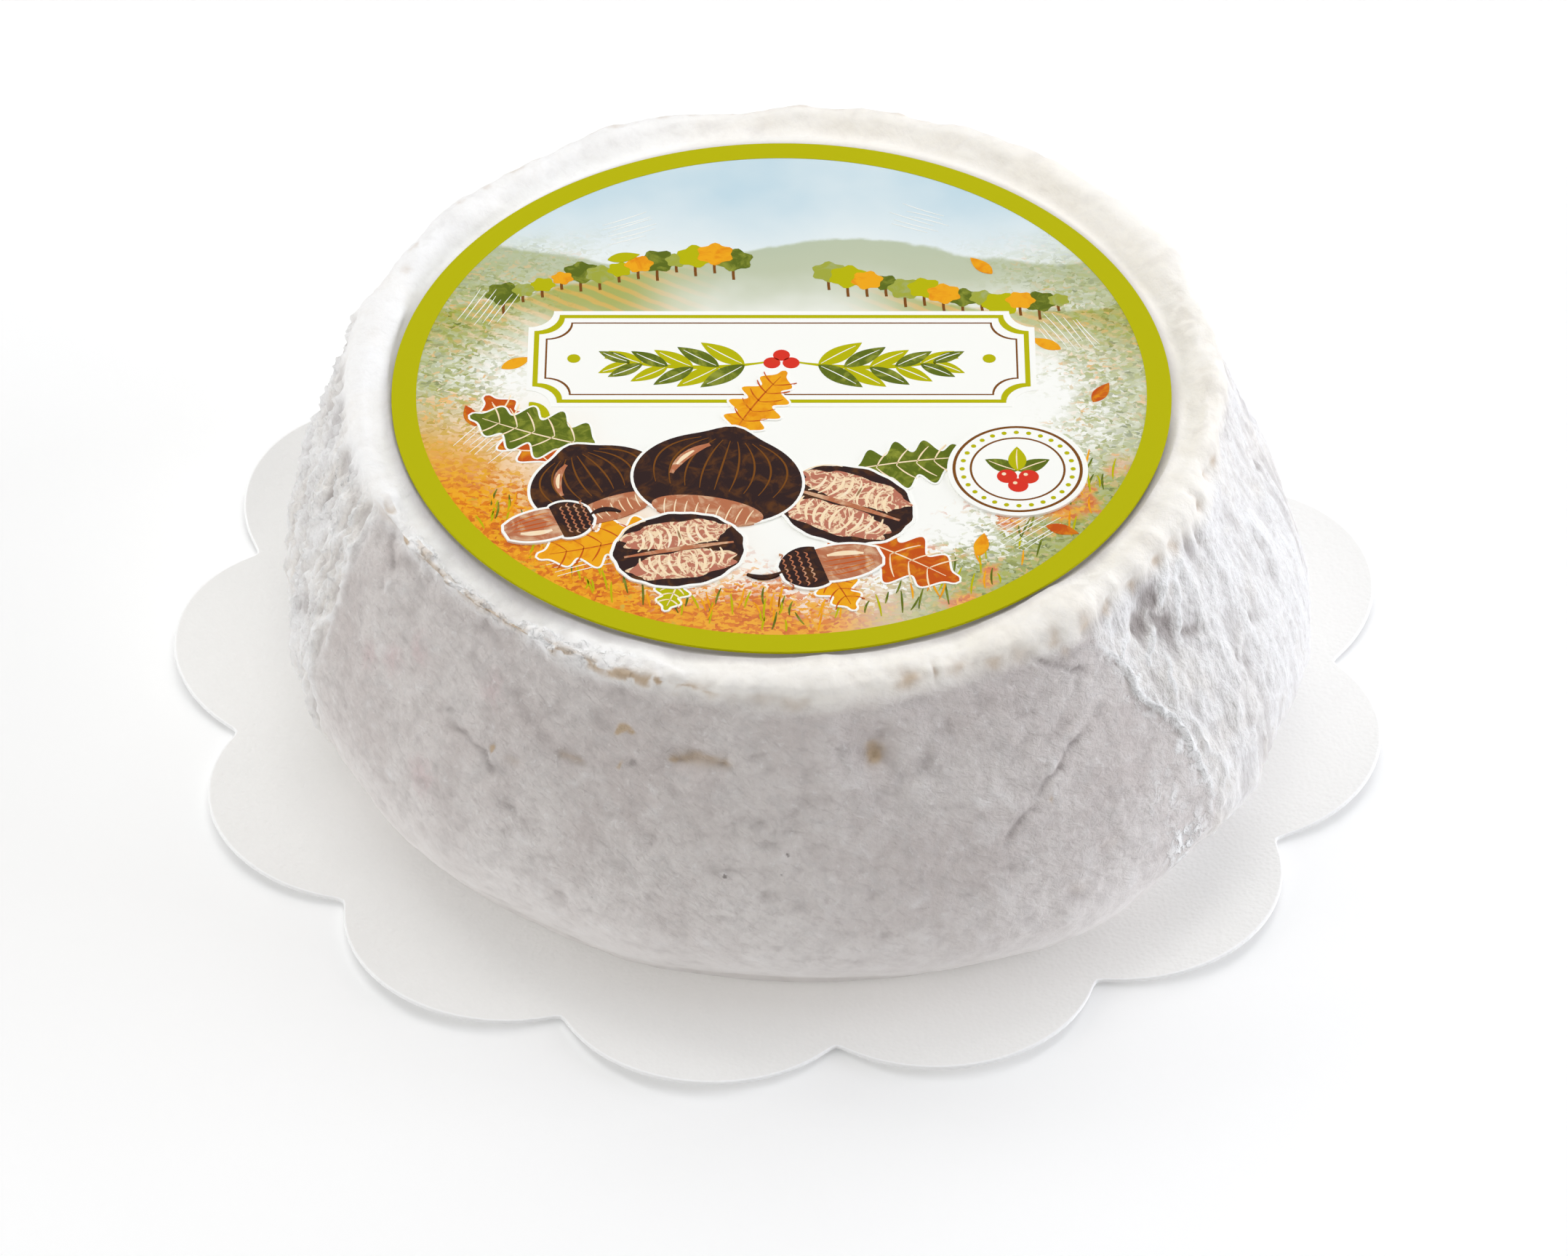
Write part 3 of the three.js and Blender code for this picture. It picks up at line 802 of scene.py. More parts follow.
# Drawn creases and ridges: amount outward, half-width in mm, shade (painted shade above 0, a painted
# highlight below 0), tan, then azimuth and height along it
CREASES = [
    (0.7, 0.45, -1.4, 0, CREASE_CORE),
    (0.6, 0.45, -2.0, 0, [(-31.8, 46.5), (-33.8, 44.1), (-34.8, 42.5), (-35.9, 41)]),
    (0.5, 0.45, -1.6, 0, [(-28.8, 45.7), (-30.9, 44.4), (-32.4, 42.2), (-33.1, 40), (-34.2, 38.2),
                          (-35.3, 37)]),
    (0.55, 0.4, -2.0, 0, [(-37.8, 40), (-38.9, 38.7), (-40, 38), (-41, 37)]),
    (0.4, 0.4, -1.4, 0, [(-41.6, 41.5), (-43.4, 41), (-44, 40.4)]),
    (0.4, 0.35, -1.6, 0, [(-38.2, 36.8), (-38.2, 35.7), (-39, 34.4), (-39.5, 32.4)]),
    (0.4, 0.35, -1.2, 0, [(-42.7, 37), (-44, 36.8)]),
    (0.3, 0.5, -0.7, 0, [(-42.7, 45.7), (-44.4, 45.2), (-45.5, 43.5)]),
    (0.4, 0.5, -0.5, 0, [(-40.4, 31), (-39.3, 29.5), (-38.5, 26.8), (-37.7, 23.2), (-36, 20)]),
    (0.35, 0.5, -0.5, 0, [(-35.7, 20.6), (-37.1, 19.8), (-38, 18.2), (-38.9, 15.5)]),
    (0.35, 0.5, -0.5, 0, [(-40.2, 18.3), (-40.8, 15.3)]),
    (0.25, 0.6, -0.6, 0, [(-41.2, 27.7), (-41.9, 26.6), (-42.6, 26.2)]),
    (0.2, 0.5, -0.4, 0, [(-43.4, 26), (-43.6, 24.9)]),
    (0.5, 0.8, -0.5, 0, [(-163, 44), (-160.3, 41.3), (-158, 39.6), (-157, 36), (-157, 30), (-156, 24)]),
    (0.3, 0.6, -0.4, 0, [(-149.8, 40), (-148.7, 42)]),
    (0.15, 0.4, -0.3, 0, [(-105.7, 34.7), (-104.4, 33.8)]),
    (0.2, 0.6, -0.3, 0, [(-53.2, 36.2), (-56, 35.4), (-58.2, 33.6), (-60.6, 32)]),
    (-0.3, 0.45, 0.45, 0, [(-52.5, 35), (-55, 34.4), (-57, 32.9), (-59.3, 31.6), (-62, 30.2)]),
    (-0.3, 0.45, 0.45, 0, [(-61, 28.6), (-63, 28.9), (-64.2, 28.3), (-65.4, 27), (-66, 26)]),
    (-0.25, 0.9, 0.15, 0, [(-78, 34.6), (-75.4, 36.2), (-73.5, 36.9), (-70.7, 37), (-68.4, 36.4)]),
    (-0.3, 0.45, 0.5, 0.05, [(-57.6, 46.5), (-55.4, 44.6), (-53, 42.8), (-49.6, 41)]),
    (-0.25, 0.8, 0.1, 0.25, [(-56, 20.7), (-54.5, 21.5), (-52.6, 21)]),
    (-0.2, 0.3, 0.25, 0, [(-98, 31.5), (-96, 31), (-94.5, 31.3), (-92.7, 31.6), (-89.5, 31.2), (-87, 31)]),
    (-0.15, 0.3, 0.2, 0, [(-93.5, 30), (-92, 29.2), (-90.3, 29.6)]),
    (-0.15, 0.3, 0.2, 0, [(-99.5, 26), (-98, 25.6), (-95.7, 25.7), (-93.6, 26.3)]),
    (-0.15, 0.5, 0.1, 0.12, [(-92.6, 22.7), (-91.3, 22.4)]),
    (-0.15, 0.3, 0.3, 0, [(-95.8, 40.8), (-91.2, 41.6)]),
    (-0.15, 0.3, 0.3, 0, [(-94.6, 39.7), (-91, 40.5)]),
    (-0.15, 0.3, 0.3, 0, [(-93, 43.4), (-90, 44.2)]),
    (-0.15, 0.3, 0.25, 0, [(-90.1, 32.2), (-87.9, 33.6)]),
    (-0.3, 0.7, 0.45, 0.4, [(-118, 34.8), (-115.5, 34.9), (-113.4, 34.2)]),
    (-0.3, 0.55, 0.5, 0, [(-133, 31), (-130.8, 31.3), (-128.7, 31.2), (-126.7, 30.8), (-124.8, 28.8),
                          (-123.7, 28.7)]),
    (-0.25, 0.6, 0.45, 0, [(-123.3, 26.2), (-122.3, 25.3), (-120.7, 25.3)]),
    (-0.05, 0.25, 0.5, 0, [(-134, 32.6), (-131.8, 33.4)]),
    (-0.6, 0.7, 0.5, 0.1, [(-171.6, 41), (-171.2, 37.8), (-171, 34.6)]),
    (-0.6, 1.1, 0.4, 0, [(-168.2, 38.5), (-168.7, 32.7)]),
    (-0.4, 0.6, 0.4, 0.1, [(-170, 25), (-169, 23.5)]),
    (-0.5, 0.6, 0.35, 0, [(-12.3, 36.4), (-12.2, 33.3), (-12.4, 30.5), (-13.6, 28)]),
    (-0.25, 0.5, 0.35, 0, [(0, 35.7), (-0.8, 34.7)]),
    (-0.35, 0.5, 0.35, 0, [(-35.3, 37.7), (-32.6, 36.6), (-29.9, 35.1)]),
    (-0.3, 0.5, 0.35, 0, [(-22.4, 32), (-23, 30.2)]),
    (-0.3, 0.6, 0.3, 0, [(-28.7, 30), (-27, 27.2)]),
    (-0.3, 0.4, 0.4, 0.2, [(-24.3, 39.5), (-24.4, 38)]),
    (-0.4, 0.7, 0.5, 0.2, [(-21.3, 48.6), (-21.8, 46.6)]),
    (-0.25, 0.5, 0.4, 0.1, [(-154, 46), (-149.3, 42.7)]),
    (-0.2, 0.55, 0.0, 0.9, [(-110.6, 39.2), (-110, 40.3), (-108.8, 40.7), (-107.7, 40)]),
    (-0.8, 1.2, 0.25, 0.5, [(-103.6, 38.2), (-100, 38.6), (-97, 38.4), (-95.4, 38)]),
]

# Hollows of the rim between its lumps: azimuth, height, amount outward; and the lumps' azimuths
HOLLOWS = ((-15.5, 47.6, -0.9), (-22.0, 47.2, -0.6), (-29.5, 46.6, -0.55), (-33.6, 46.9, -0.5),
           (-38.9, 46.1, -0.4), (-44.0, 46.4, -0.3), (-48.9, 46.8, -0.15), (-53.8, 46.8, -0.1))
LUMPS = (-11.5, -18.5, -25.5, -31.6, -37.1, -41.4)

# Pits, stains and patches of painted shade: azimuth, height, half-size across and upright in mm, amount
# outward, shade (painted shade above 0, a painted highlight below 0), tan
# The rim's hollows come first: painted shade in the gaps between its lumps, with their tan partly the bare
# paste's own and partly painted shade
SPOTS = [(azimuth, height, 1.7, 1.3, out, 0.3, 0.42) for azimuth, height, out in HOLLOWS] + [
    (-37.4, 41.3, 3.8, 4.4, -0.6, 0.45, 0.0),
    (-36.5, 43.2, 1.1, 1.4, -0.25, 0.35, 0.05),
    (-39.2, 41.3, 1.4, 1.5, -0.3, 0.4, 0.05),
    (-35.8, 39.6, 1.1, 1.8, -0.3, 0.4, 0.05),
    (-12.5, 47.2, 1.6, 1.0, -0.4, 0.3, 0.5),
    (-25.0, 44.6, 0.8, 2.4, -0.4, 0.4, 0.2),
    (-27.2, 45.4, 0.7, 2.0, -0.4, 0.5, 0.1),
    (-47.5, 45.3, 2.6, 2.0, -0.2, 0.3, 0.15),
    (-78.9, 39.6, 1.9, 1.7, -0.7, 0.3, 0.6),
    (-78.9, 38.9, 1.3, 0.8, -0.1, 0.2, 0.9),
    (-78.9, 41.0, 4.5, 3.5, -0.2, 0.1, 0.15),
    (-79.8, 45.4, 5.0, 2.4, -0.1, 0.05, 0.2),
    (-102.8, 37.8, 1.2, 0.6, -0.1, 0.2, 0.65),
    (-109.3, 35.8, 0.4, 0.8, -0.1, 0.0, 0.6),
    (-107.9, 36.4, 0.6, 0.5, -0.2, 0.6, 0.2),
    (-122.7, 31.4, 2.0, 1.0, -0.3, 0.15, 0.3),
    (-125.6, 31.8, 0.4, 0.6, -0.1, 0.6, 0.9),
    (-59.0, 17.8, 2.2, 1.4, -0.2, 0.1, 0.25),
    (-59.6, 29.5, 0.6, 0.8, -0.1, 0.1, 0.5),
    (-73.8, 47.6, 2.8, 1.3, -0.3, 0.25, 0.5),
    (-70.0, 47.8, 0.6, 1.3, -0.4, 0.4, 0.5),
    (-67.1, 47.4, 2.6, 1.4, -0.25, 0.2, 0.4),
    (-62.2, 46.9, 2.2, 1.3, -0.35, 0.25, 0.45),
    (-58.6, 46.5, 2.0, 1.5, -0.35, 0.3, 0.35),
    (-52.8, 45.0, 1.5, 1.2, -0.15, 0.25, 0.4),
    (-106.0, 47.4, 0.6, 0.7, 0.0, 0.0, 0.9),
    (-92.6, 46.6, 3.4, 1.1, -0.2, 0.2, 0.3),
    (-88.6, 46.4, 2.8, 1.3, -0.2, 0.2, 0.35),
    (-96.8, 46.4, 2.6, 1.2, -0.1, 0.0, 0.2),
    (-146.0, 47.6, 2.0, 0.8, -0.2, 0.1, 0.5),
    (-156.0, 47.2, 4.0, 1.4, -0.2, 0.1, 0.35),
    (-150.0, 45.6, 8.0, 2.6, -0.2, 0.12, 0.12),
    (-144.0, 42.0, 5.0, 5.0, -0.3, 0.1, 0.05),
    (-159.8, 19.6, 1.0, 0.8, 0.5, -0.2, 0.3),
    # Two broad patches of painted shade high on the front, with no relief and no tan
    (-123.0, 40.0, 13.0, 6.0, 0.0, 0.17, 0.0),
    (-62.0, 40.5, 10.0, 5.5, 0.0, 0.15, 0.0),
    (40.0, 30.0, 1.2, 0.8, -0.3, 0.2, 0.6),
    (88.0, 36.0, 1.6, 0.9, -0.4, 0.2, 0.6),
    (131.0, 21.0, 1.1, 0.8, -0.3, 0.2, 0.5),
]

# Dark specks: azimuth, height
SPECKS = [(-89.3, 28.2), (-113.0, 16.3), (-110.7, 17.6), (-111.5, 34.2), (-90.0, 25.6), (-96.0, 24.8),
          (-118.0, 44.8), (-108.5, 32.7), (-108.9, 29.2), (-133.5, 33.9), (52.0, 18.0), (97.0, 27.0)]

# Pinkish patches of the front: azimuth, height, radius
BLUSHES = [(-148.4, 31, 2.5), (-144, 33.6, 3.0), (-140.5, 37.4, 3.0), (-128, 39, 3.5), (-134.5, 22.5, 4.0)]


def add_blushes(rind, wheel, base_height, point, tint, smudge):
    """Pinkish patches with ragged edges."""
    for azimuth, level, radius in BLUSHES:
        centre = wheel_point(wheel, base_height, azimuth, level)
        spread = rind.vector("DISTANCE", point, centre, "Value") + (smudge - 0.5) * 5
        tint = rind.mix(spread.rise(radius, 0.0) * 0.6, tint, wheel.rose)
    return tint


def add_bare_paste(rind, wheel, tint, smudge, felt):
    """Thin bloom, bare paste and the deepest stains, where the mesh is tan."""
    bare = rind.value("tan")
    broken = bare * (0.6 + smudge * 0.8)
    tan = rind.mix(bare.rise(0.2, 0.55), wheel.stain, wheel.tan)
    tan = rind.mix(bare.rise(0.6, 1.0) * felt.rise(0.35, 0.6) * 0.8, tan, wheel.brown)
    return rind.mix(broken.rise(0.08, 0.7), tint, tan)


def add_specks(rind, wheel, base_height, point, tint):
    """Tiny dark specks, each pulled out of round."""
    shaken = rind.vector("ADD", point, rind.loose_colour(point, 1.3, 2.0))
    middle_of_noise = 0.5
    dark = None
    for azimuth, level in SPECKS:
        centre = tuple(part + middle_of_noise for part in wheel_point(wheel, base_height, azimuth, level))
        mark = rind.vector("DISTANCE", shaken, centre, "Value").rise(0.36, 0.14)
        dark = mark if dark is None else dark.larger(mark)
    return rind.mix(dark * 0.7, tint, wheel.speck)


def rind_finish(wheel, base_height):
    """Bloomy rind: felted white, a greyer smooth front that is partly painted shade, blotches, tan bare
    spots and dark specks, painted shade in the creases and hollows with painted highlights on the ridges, a
    top partly whitened as painted light, and a painted shadow beside the label.
    """
    rind = Finish("bloomy_rind")
    point = rind.place()
    wrinkled, shade = rind.value("wrinkled"), rind.value("shade")
    across, depth, up = rind.parts(point)

    blotch = rind.noise(point, 13.0, 4.0, 0.6, 0.6)
    smudge = rind.noise(rind.vector("ADD", point, (40.0, 7.0, 3.0)), 3.2, 5.0, 0.62, 0.8)
    sheared = rind.join(across, depth, up * 2.2 + across * 0.9)
    strokes = rind.noise(sheared, 1.7, 5.0, 0.62, 0.6)
    other_way = rind.join(across + up * 0.5, depth, up * 1.5 - across * 0.7)
    crumple = 1 - (rind.noise(other_way, 2.2, 4.0, 0.55, 0.5) - 0.5).size() * 5.0
    felt = rind.noise(point, 1.1, 5.0, 0.66, 0.4)
    fibre = rind.noise(rind.place(stretch=(1.0, 1.0, 0.22)), 0.6, 3.0, 0.6, 0.4)
    crumbs = rind.noise(point, 1.5, 4.0, 0.6, 0.3).rise(0.42, 0.6) * rind.value("grit")
    on_top = up.rise(45.0, 48.4)
    calm = (1 - on_top * 0.7) * (0.12 + up.rise(5.0, 24.0) * 0.88)

    front = rind.mix(blotch.rise(0.38, 0.66), wheel.front, wheel.blush)
    front = rind.mix((up + (blotch - 0.5) * 16).rise(31.0, 4.0), front, wheel.foot)
    side = rind.mix(blotch.rise(0.4, 0.7), wheel.white, wheel.warm)
    # The smooth front takes the greyer front colour, which is partly painted shade; the wrinkled sides and
    # the top take the white
    tint = rind.mix(wrinkled.larger(on_top), front, side)
    tint = add_blushes(rind, wheel, base_height, point, tint, smudge)
    tint = rind.mix(smudge.rise(0.46, 0.68) * (0.55 - wrinkled * 0.3) * calm, tint, wheel.grey)
    tint = rind.mix(strokes.rise(0.5, 0.7) * (0.4 - wrinkled * 0.25) * calm, tint, wheel.mauve)
    tint = rind.mix(felt.rise(0.52, 0.36) * 0.2 * calm, tint, wheel.mauve)
    # Painted shade: the rind turns to the crease colour where the mesh's shade is above 0; painted
    # highlight: it turns to bloom white where the shade is below 0
    tint = rind.mix(shade.rise(0.0, 0.75) * (0.6 + felt * 0.5), tint, wheel.crease)
    tint = rind.mix(shade.rise(0.0, -0.7) * 0.85, tint, wheel.bloom)
    tint = rind.mix(felt.rise(0.56, 0.72) * 0.28 * calm, tint, wheel.bloom)
    # On the top the rind turns towards bloom white on the left and the back, partly the thick bloom's own
    # white and partly painted light that brightens the top; towards the right it turns cream, the rind's own
    # tone
    crest = rind.mix(across.rise(-40.0, 20.0), wheel.bloom, wheel.cream)
    tint = rind.mix(on_top * (0.3 + felt * 0.5), tint, crest)
    tint = rind.mix(crumbs, tint, wheel.bloom)
    tint = add_bare_paste(rind, wheel, tint, smudge, felt)
    tint = add_specks(rind, wheel, base_height, point, tint)
    # Painted shadow of the label: the rind darkened in a ring just outside its edge, with its middle moved
    # 0.3 mm to the front
    reach = (across * across + (depth + 0.3) * (depth + 0.3)) ** 0.5
    label = frame_radius("paper_label")
    tint = rind.mix(reach.rise(label + 2.0, label - 0.4) * on_top * 0.7, tint, wheel.shadow)

    height = (felt * 0.32 + strokes * (0.5 - wrinkled * 0.2) + crumple * (0.12 - wrinkled * 0.06)) * calm
    height = height + fibre * (wrinkled * 0.6 + 0.08) * calm + crumbs * 0.5
    normal = rind.bump(height, 0.62, 0.9)
    return rind.surface(Base_Color=tint, Roughness=0.9, Normal=normal, Sheen_Weight=0.2,
                        Sheen_Roughness=0.6, Specular_IOR_Level=0.15)


class CHEESE_OT_wheel(bpy.types.Operator):
    """Add the cheese wheel with its wrinkled rind"""
    bl_idname = "cheese.add_wheel"
    bl_label = "Cheese Wheel"

    def execute(self, context):
        wheel = millimetres(context.scene.cheese_wheel)
        base_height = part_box("cheese_wheel")[0].z / MM
        rings, layers = wheel_surface(wheel, base_height)
        vertices, faces = rings_to_solid(rings)
        piece = new_piece("rind", vertices, faces, rind_finish(wheel, base_height))
        for name, values in layers.items():
            set_values(piece, name, np.concatenate([values.ravel(), [0.0, 0.0]]))
        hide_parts("cheese_wheel")
        return {"FINISHED"}


# Card

# Columns in one lobe of the card's mesh, shares of the flat middle's radius, rows out to the edge and
# rows round it
CARD_COLUMNS_PER_LOBE = 54
CARD_FLAT_SHARES = (0.3, 0.7, 0.88)
CARD_ROWS = 12
CARD_EDGE_ROWS = 6


def card_edge_radius(card, angle):
    """Distance from the middle to the scalloped edge, its notches slightly rounded."""
    lobe_turn = TURN / card.lobes
    notch_round = math.radians(0.45)
    from_notch = (angle - card.first_notch) % lobe_turn
    to_notch = np.minimum(from_notch, lobe_turn - from_notch)
    from_lobe = lobe_turn / 2 - np.sqrt(to_notch**2 + notch_round**2)
    across = card.lobe_centre * np.sin(from_lobe)
    return card.lobe_centre * np.cos(from_lobe) + np.sqrt(card.lobe_radius**2 - across**2)


def card_surface(card, thickness):
    """Rings of the card's skin from the middle of the underside round the edge to the top."""
    columns = card.lobes * CARD_COLUMNS_PER_LOBE
    angle = card.first_notch + np.arange(columns) * TURN / columns
    edge = card_edge_radius(card, angle)
    tip = card.lobe_centre + card.lobe_radius
    rings, edge_share = [], []

    def add_ring(radius, level, share):
        along = np.clip((radius - card.flat_radius) / (tip - card.flat_radius), 0, None)
        lift = card.curl_lift * along**card.curl_power
        rings.append(np.stack([radius * np.cos(angle), radius * np.sin(angle), level + lift], 1))
        edge_share.append(np.full(columns, share))

    inner = [card.flat_radius * share for share in CARD_FLAT_SHARES]
    outer = np.append(np.arange(0, CARD_ROWS) / CARD_ROWS, (0.985, 1.0))
    body = edge - card.edge_round
    for radius in inner:
        add_ring(np.full(columns, radius), 0.0, 0.0)
    for share in outer:
        add_ring(card.flat_radius + (body - card.flat_radius) * share, 0.0, float(share == 1))
    for turn in steps(CARD_EDGE_ROWS) * math.pi:
        swell = card.edge_round * np.sin(turn) ** 0.5 if turn < math.pi - 0.01 else 0.0
        level = thickness * (1 - np.cos(turn)) / 2
        add_ring(body + swell, level, 1.0)
    for share in outer[::-1][1:]:
        add_ring(card.flat_radius + (body - card.flat_radius) * share, thickness, 0.0)
    for radius in inner[::-1]:
        add_ring(np.full(columns, radius), thickness, 0.0)
    return np.array(rings), np.array(edge_share)


def darker(tint, share):
    """A colour at a share of its brightness."""
    return tuple(part * share for part in tint)


def card_finish(card):
    """White board with faint pebbled embossing, painted shade on its far side, and a cut edge made brighter,
    partly as a painted highlight.
    """
    board = Finish("white_board")
    point = board.place()
    cloud = board.noise(point, 22.0, 3.0, 0.5)
    fibre = board.noise(point, 0.8, 3.0, 0.6)
    tint = board.mix(cloud.rise(0.35, 0.7) * 0.5, card.top, darker(card.top, 0.965))
    tint = board.mix(fibre.rise(0.55, 0.75) * 0.25, tint, darker(card.top, 0.95))
    across, depth, _up = board.parts(point)
    # Painted shade: the board darkened towards its far side, more on the left
    far = depth.rise(-15.0, 40.0) * (0.75 - across * 0.003)
    tint = board.mix(far, tint, darker(card.top, 0.84))
    # The cut edge turns whiter: partly the board's own colour, partly a painted highlight
    tint = board.mix(board.value("edge"), tint, card.edge)
    pebble = board.cells(point, 0.55, "SMOOTH_F1")
    normal = board.bump(pebble + board.noise(point, 0.4, 2.0) * 0.5, 0.1, 0.8)
    return board.surface(Base_Color=tint, Roughness=0.62, Normal=normal, Specular_IOR_Level=0.35)


class CHEESE_OT_card(bpy.types.Operator):
    """Add the scalloped card under the wheel"""
    bl_idname = "cheese.add_card"
    bl_label = "Scalloped Card"

    def execute(self, context):
        card = millimetres(context.scene.cheese_card)
        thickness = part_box("cheese_wheel")[0].z / MM - GAP
        rings, edge_share = card_surface(card, thickness)
        vertices, faces = rings_to_solid(rings)
        piece = new_piece("board", vertices, faces, card_finish(card))
        set_values(piece, "edge", np.concatenate([edge_share.ravel(), [0.0, 0.0]]))
        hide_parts("scalloped_card")
        return {"FINISHED"}


# Label paper


def label_finish(label, radius):
    """Paper with soft washes: sky and hills at the back, mist in the middle, autumn colours round it."""
    paper = Finish("washed_paper")
    point = paper.place()
    across, depth, _up = paper.parts(point)
    wobble = paper.noise(point, 7.0, 4.0, 0.55) - 0.5
    drift = paper.noise(paper.vector("ADD", point, (60.0, 0.0, 0.0)), 16.0, 3.0, 0.5) - 0.5
    reach = (across * across + depth * depth) ** 0.5
    jitter = paper.loose_colour(point, 0.9, 3.0)
    dab_point = paper.vector("ADD", paper.vector("MULTIPLY", point, (0.7, 1.0, 1.0)),
                             paper.vector("MULTIPLY", jitter, (1.6, 1.6, 0.0)))
    dab, fray, _other = paper.parts(paper.cells(dab_point, 0.45, "F1", "Color"))
    rim = reach + wobble * 14 + (fray - 0.5) * 8
    autumn = paper.add("ShaderNodeValToRGB", {"stops": [
        (0.0, label.meadow), (0.14, label.gold), (0.4, label.gold), (0.62, label.amber), (1.0, label.rust)]},
        {"Fac": dab * 0.75 + wobble * 0.9 + 0.12})
    greens = paper.add("ShaderNodeValToRGB", {"stops": [
        (0.0, label.leaf), (0.36, label.meadow), (0.72, label.hill), (1.0, label.gold)]},
        {"Fac": dab * 0.8 + wobble * 0.8 + 0.1})
    tint = paper.mix(depth.rise(14.0, 46.0) * (0.8 + drift * 0.8), label.paper, label.sky)
    far_crest = 29 + (across * 0.11 + 0.6).sine() * 2.6 + wobble * 3
    far = (far_crest - depth).rise(-0.4, 0.6) * (depth + drift * 14).rise(11.0, 25.0)
    tint = paper.mix(far * 0.7, tint, label.hill)
    near_crest = 21 + (across * 0.072 + 2.2).sine() * 5 + wobble * 3
    near = (near_crest - depth).rise(-0.4, 0.6) * (depth + drift * 16).rise(2.0, 19.0)
    furrow = ((across + depth * 1.7) * 1.5 + wobble * 5).sine().rise(-0.2, 0.8)
    tint = paper.mix(near * across.size().rise(6.0, 24.0) * 0.85, tint,
                     paper.mix(furrow * 0.55, label.meadow, label.gold))
    flank = rim.rise(35.0, 47.0) * (depth + wobble * 10).size().rise(36.0, 18.0)
    tint = paper.mix(flank * across.rise(-4.0, -30.0) * (0.6 + fray * 0.3), tint, greens)
    tint = paper.mix(flank * across.rise(10.0, 38.0) * (0.5 + fray * 0.3), tint, greens)
    glow = (reach + drift * 24).rise(22.0, 46.0) * depth.rise(2.0, -16.0) * across.rise(2.0, -26.0)
    tint = paper.mix(glow * 0.75, tint, label.gold)
    low = (rim + drift * 10).rise(37.0, 44.5) * (depth + wobble * 8).rise(-9.0, -24.0)
    tint = paper.mix(low * across.rise(24.0, 4.0) * 0.95, tint, autumn)
    tint = paper.mix(low * across.rise(4.0, 26.0) * 0.9, tint,
                     paper.mix(wobble.rise(0.0, 0.12), greens, autumn))
    under_ring = radius - label.ring_width + 1
    tint = paper.mix(reach.rise(under_ring - 0.1, under_ring + 0.1), tint, label.olive)
    return paper.surface(Base_Color=tint, Roughness=0.6, Specular_IOR_Level=0.05)


class CHEESE_OT_label(bpy.types.Operator):
    """Add the paper label with its painted washes"""
    bl_idname = "cheese.add_label"
    bl_label = "Paper Label"

    def execute(self, context):
        label = millimetres(context.scene.cheese_label)
        low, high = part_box("paper_label")
        bottom, top = low.z / MM, high.z / MM
        radius = frame_radius("paper_label")
        columns = 256
        angle = np.arange(columns) * TURN / columns
        edge = 0.06
        cut = 1 - edge / radius
        reaches = [(0.4, bottom), (0.8, bottom), (cut, bottom), (1.0, bottom + edge)]
        reaches += [(1.0, top - edge), (cut, top), (0.8, top), (0.4, top)]
        rings = np.array([np.stack([radius * share * np.cos(angle), radius * share * np.sin(angle),
                                    np.full(columns, level)], 1) for share, level in reaches])
        vertices, faces = rings_to_solid(rings)
        piece = new_piece("label", vertices, faces, label_finish(label, radius), False)
        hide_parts("paper_label")
        return {"FINISHED"}


# Printed motifs, drawn in the label's own plane in millimetres: +x to the right, +y to the back

# The plaque and the seal; each line of the plaque has an ink and lies between two insets from its edge
PLAQUE_CENTRE = (0, 6)
PLAQUE_WIDTH = 69
PLAQUE_DEPTH = 20
PLAQUE_SCOOP = 3.4
PLAQUE_LINES = (("olive", 0.8, 1.5), ("line", 2.4, 2.65))
SEAL_CENTRE = (31.5, -17.0)
SEAL_RADIUS = 9.4


def ellipse(centre, across, deep, count=48):
    """An outline from its half-widths."""
    angle = np.arange(count) * TURN / count
    return placed(np.stack([across * np.cos(angle), deep * np.sin(angle)], 1), centre)


def disc_outline(centre, radius, count):
    """A round outline."""
    return ellipse(centre, radius, radius, count)


def placed(points, centre, turn=0.0):
    """Points turned by degrees and moved to a centre."""
    angle = math.radians(turn)
    x, y = np.asarray(points, float).T
    return np.stack([centre[0] + x * math.cos(angle) - y * math.sin(angle),
                     centre[1] + x * math.sin(angle) + y * math.cos(angle)], 1)


def mirrored_sides(along, half_width):
    """A closed outline from a half-width at each place along the x axis."""
    upper = np.stack([along, half_width], 1)
    lower = np.stack([along, -half_width], 1)[::-1]
    return np.concatenate([lower[:-1], upper[:-1]])


def plain_leaf(size, width):
    """A smooth pointed leaf along the x axis."""
    share = np.linspace(0, 1, 24)
    return mirrored_sides(share * size, width / 2 * np.sin(math.pi * share**0.85) ** 0.9 + 1e-4)


def oak_leaf(size, width):
    """A lobed leaf along the x axis."""
    share = np.linspace(0, 1, 72)
    lobes = 0.74 + 0.26 * np.cos(TURN * 4.4 * share + 2.6)
    return mirrored_sides(share * size, width / 2 * np.sin(math.pi * share**0.75) ** 0.6 * lobes + 1e-4)


def acorn(size, width):
    """A nut with a small tip, along the x axis."""
    share = np.linspace(0, 1, 40)
    body = np.sqrt(np.clip(1 - (2 * share - 1) ** 2, 0, 1)) ** 0.85
    tip = 0.16 * bell(share - 1.0, 0.045)
    return mirrored_sides(share * size, width / 2 * np.clip(body + tip * (share > 0.9), 0, 1) + 1e-4)


def chestnut(size):
    """A broad nut with its point upwards."""
    angle = np.arange(64) * TURN / 64
    reach = size / 2 * (1 + 0.16 * bell(azimuth_gap(90, np.degrees(angle)), 14)
                        - 0.1 * bell(azimuth_gap(-90, np.degrees(angle)), 40))
    return np.stack([1.08 * reach * np.cos(angle), 0.9 * reach * np.sin(angle)], 1)


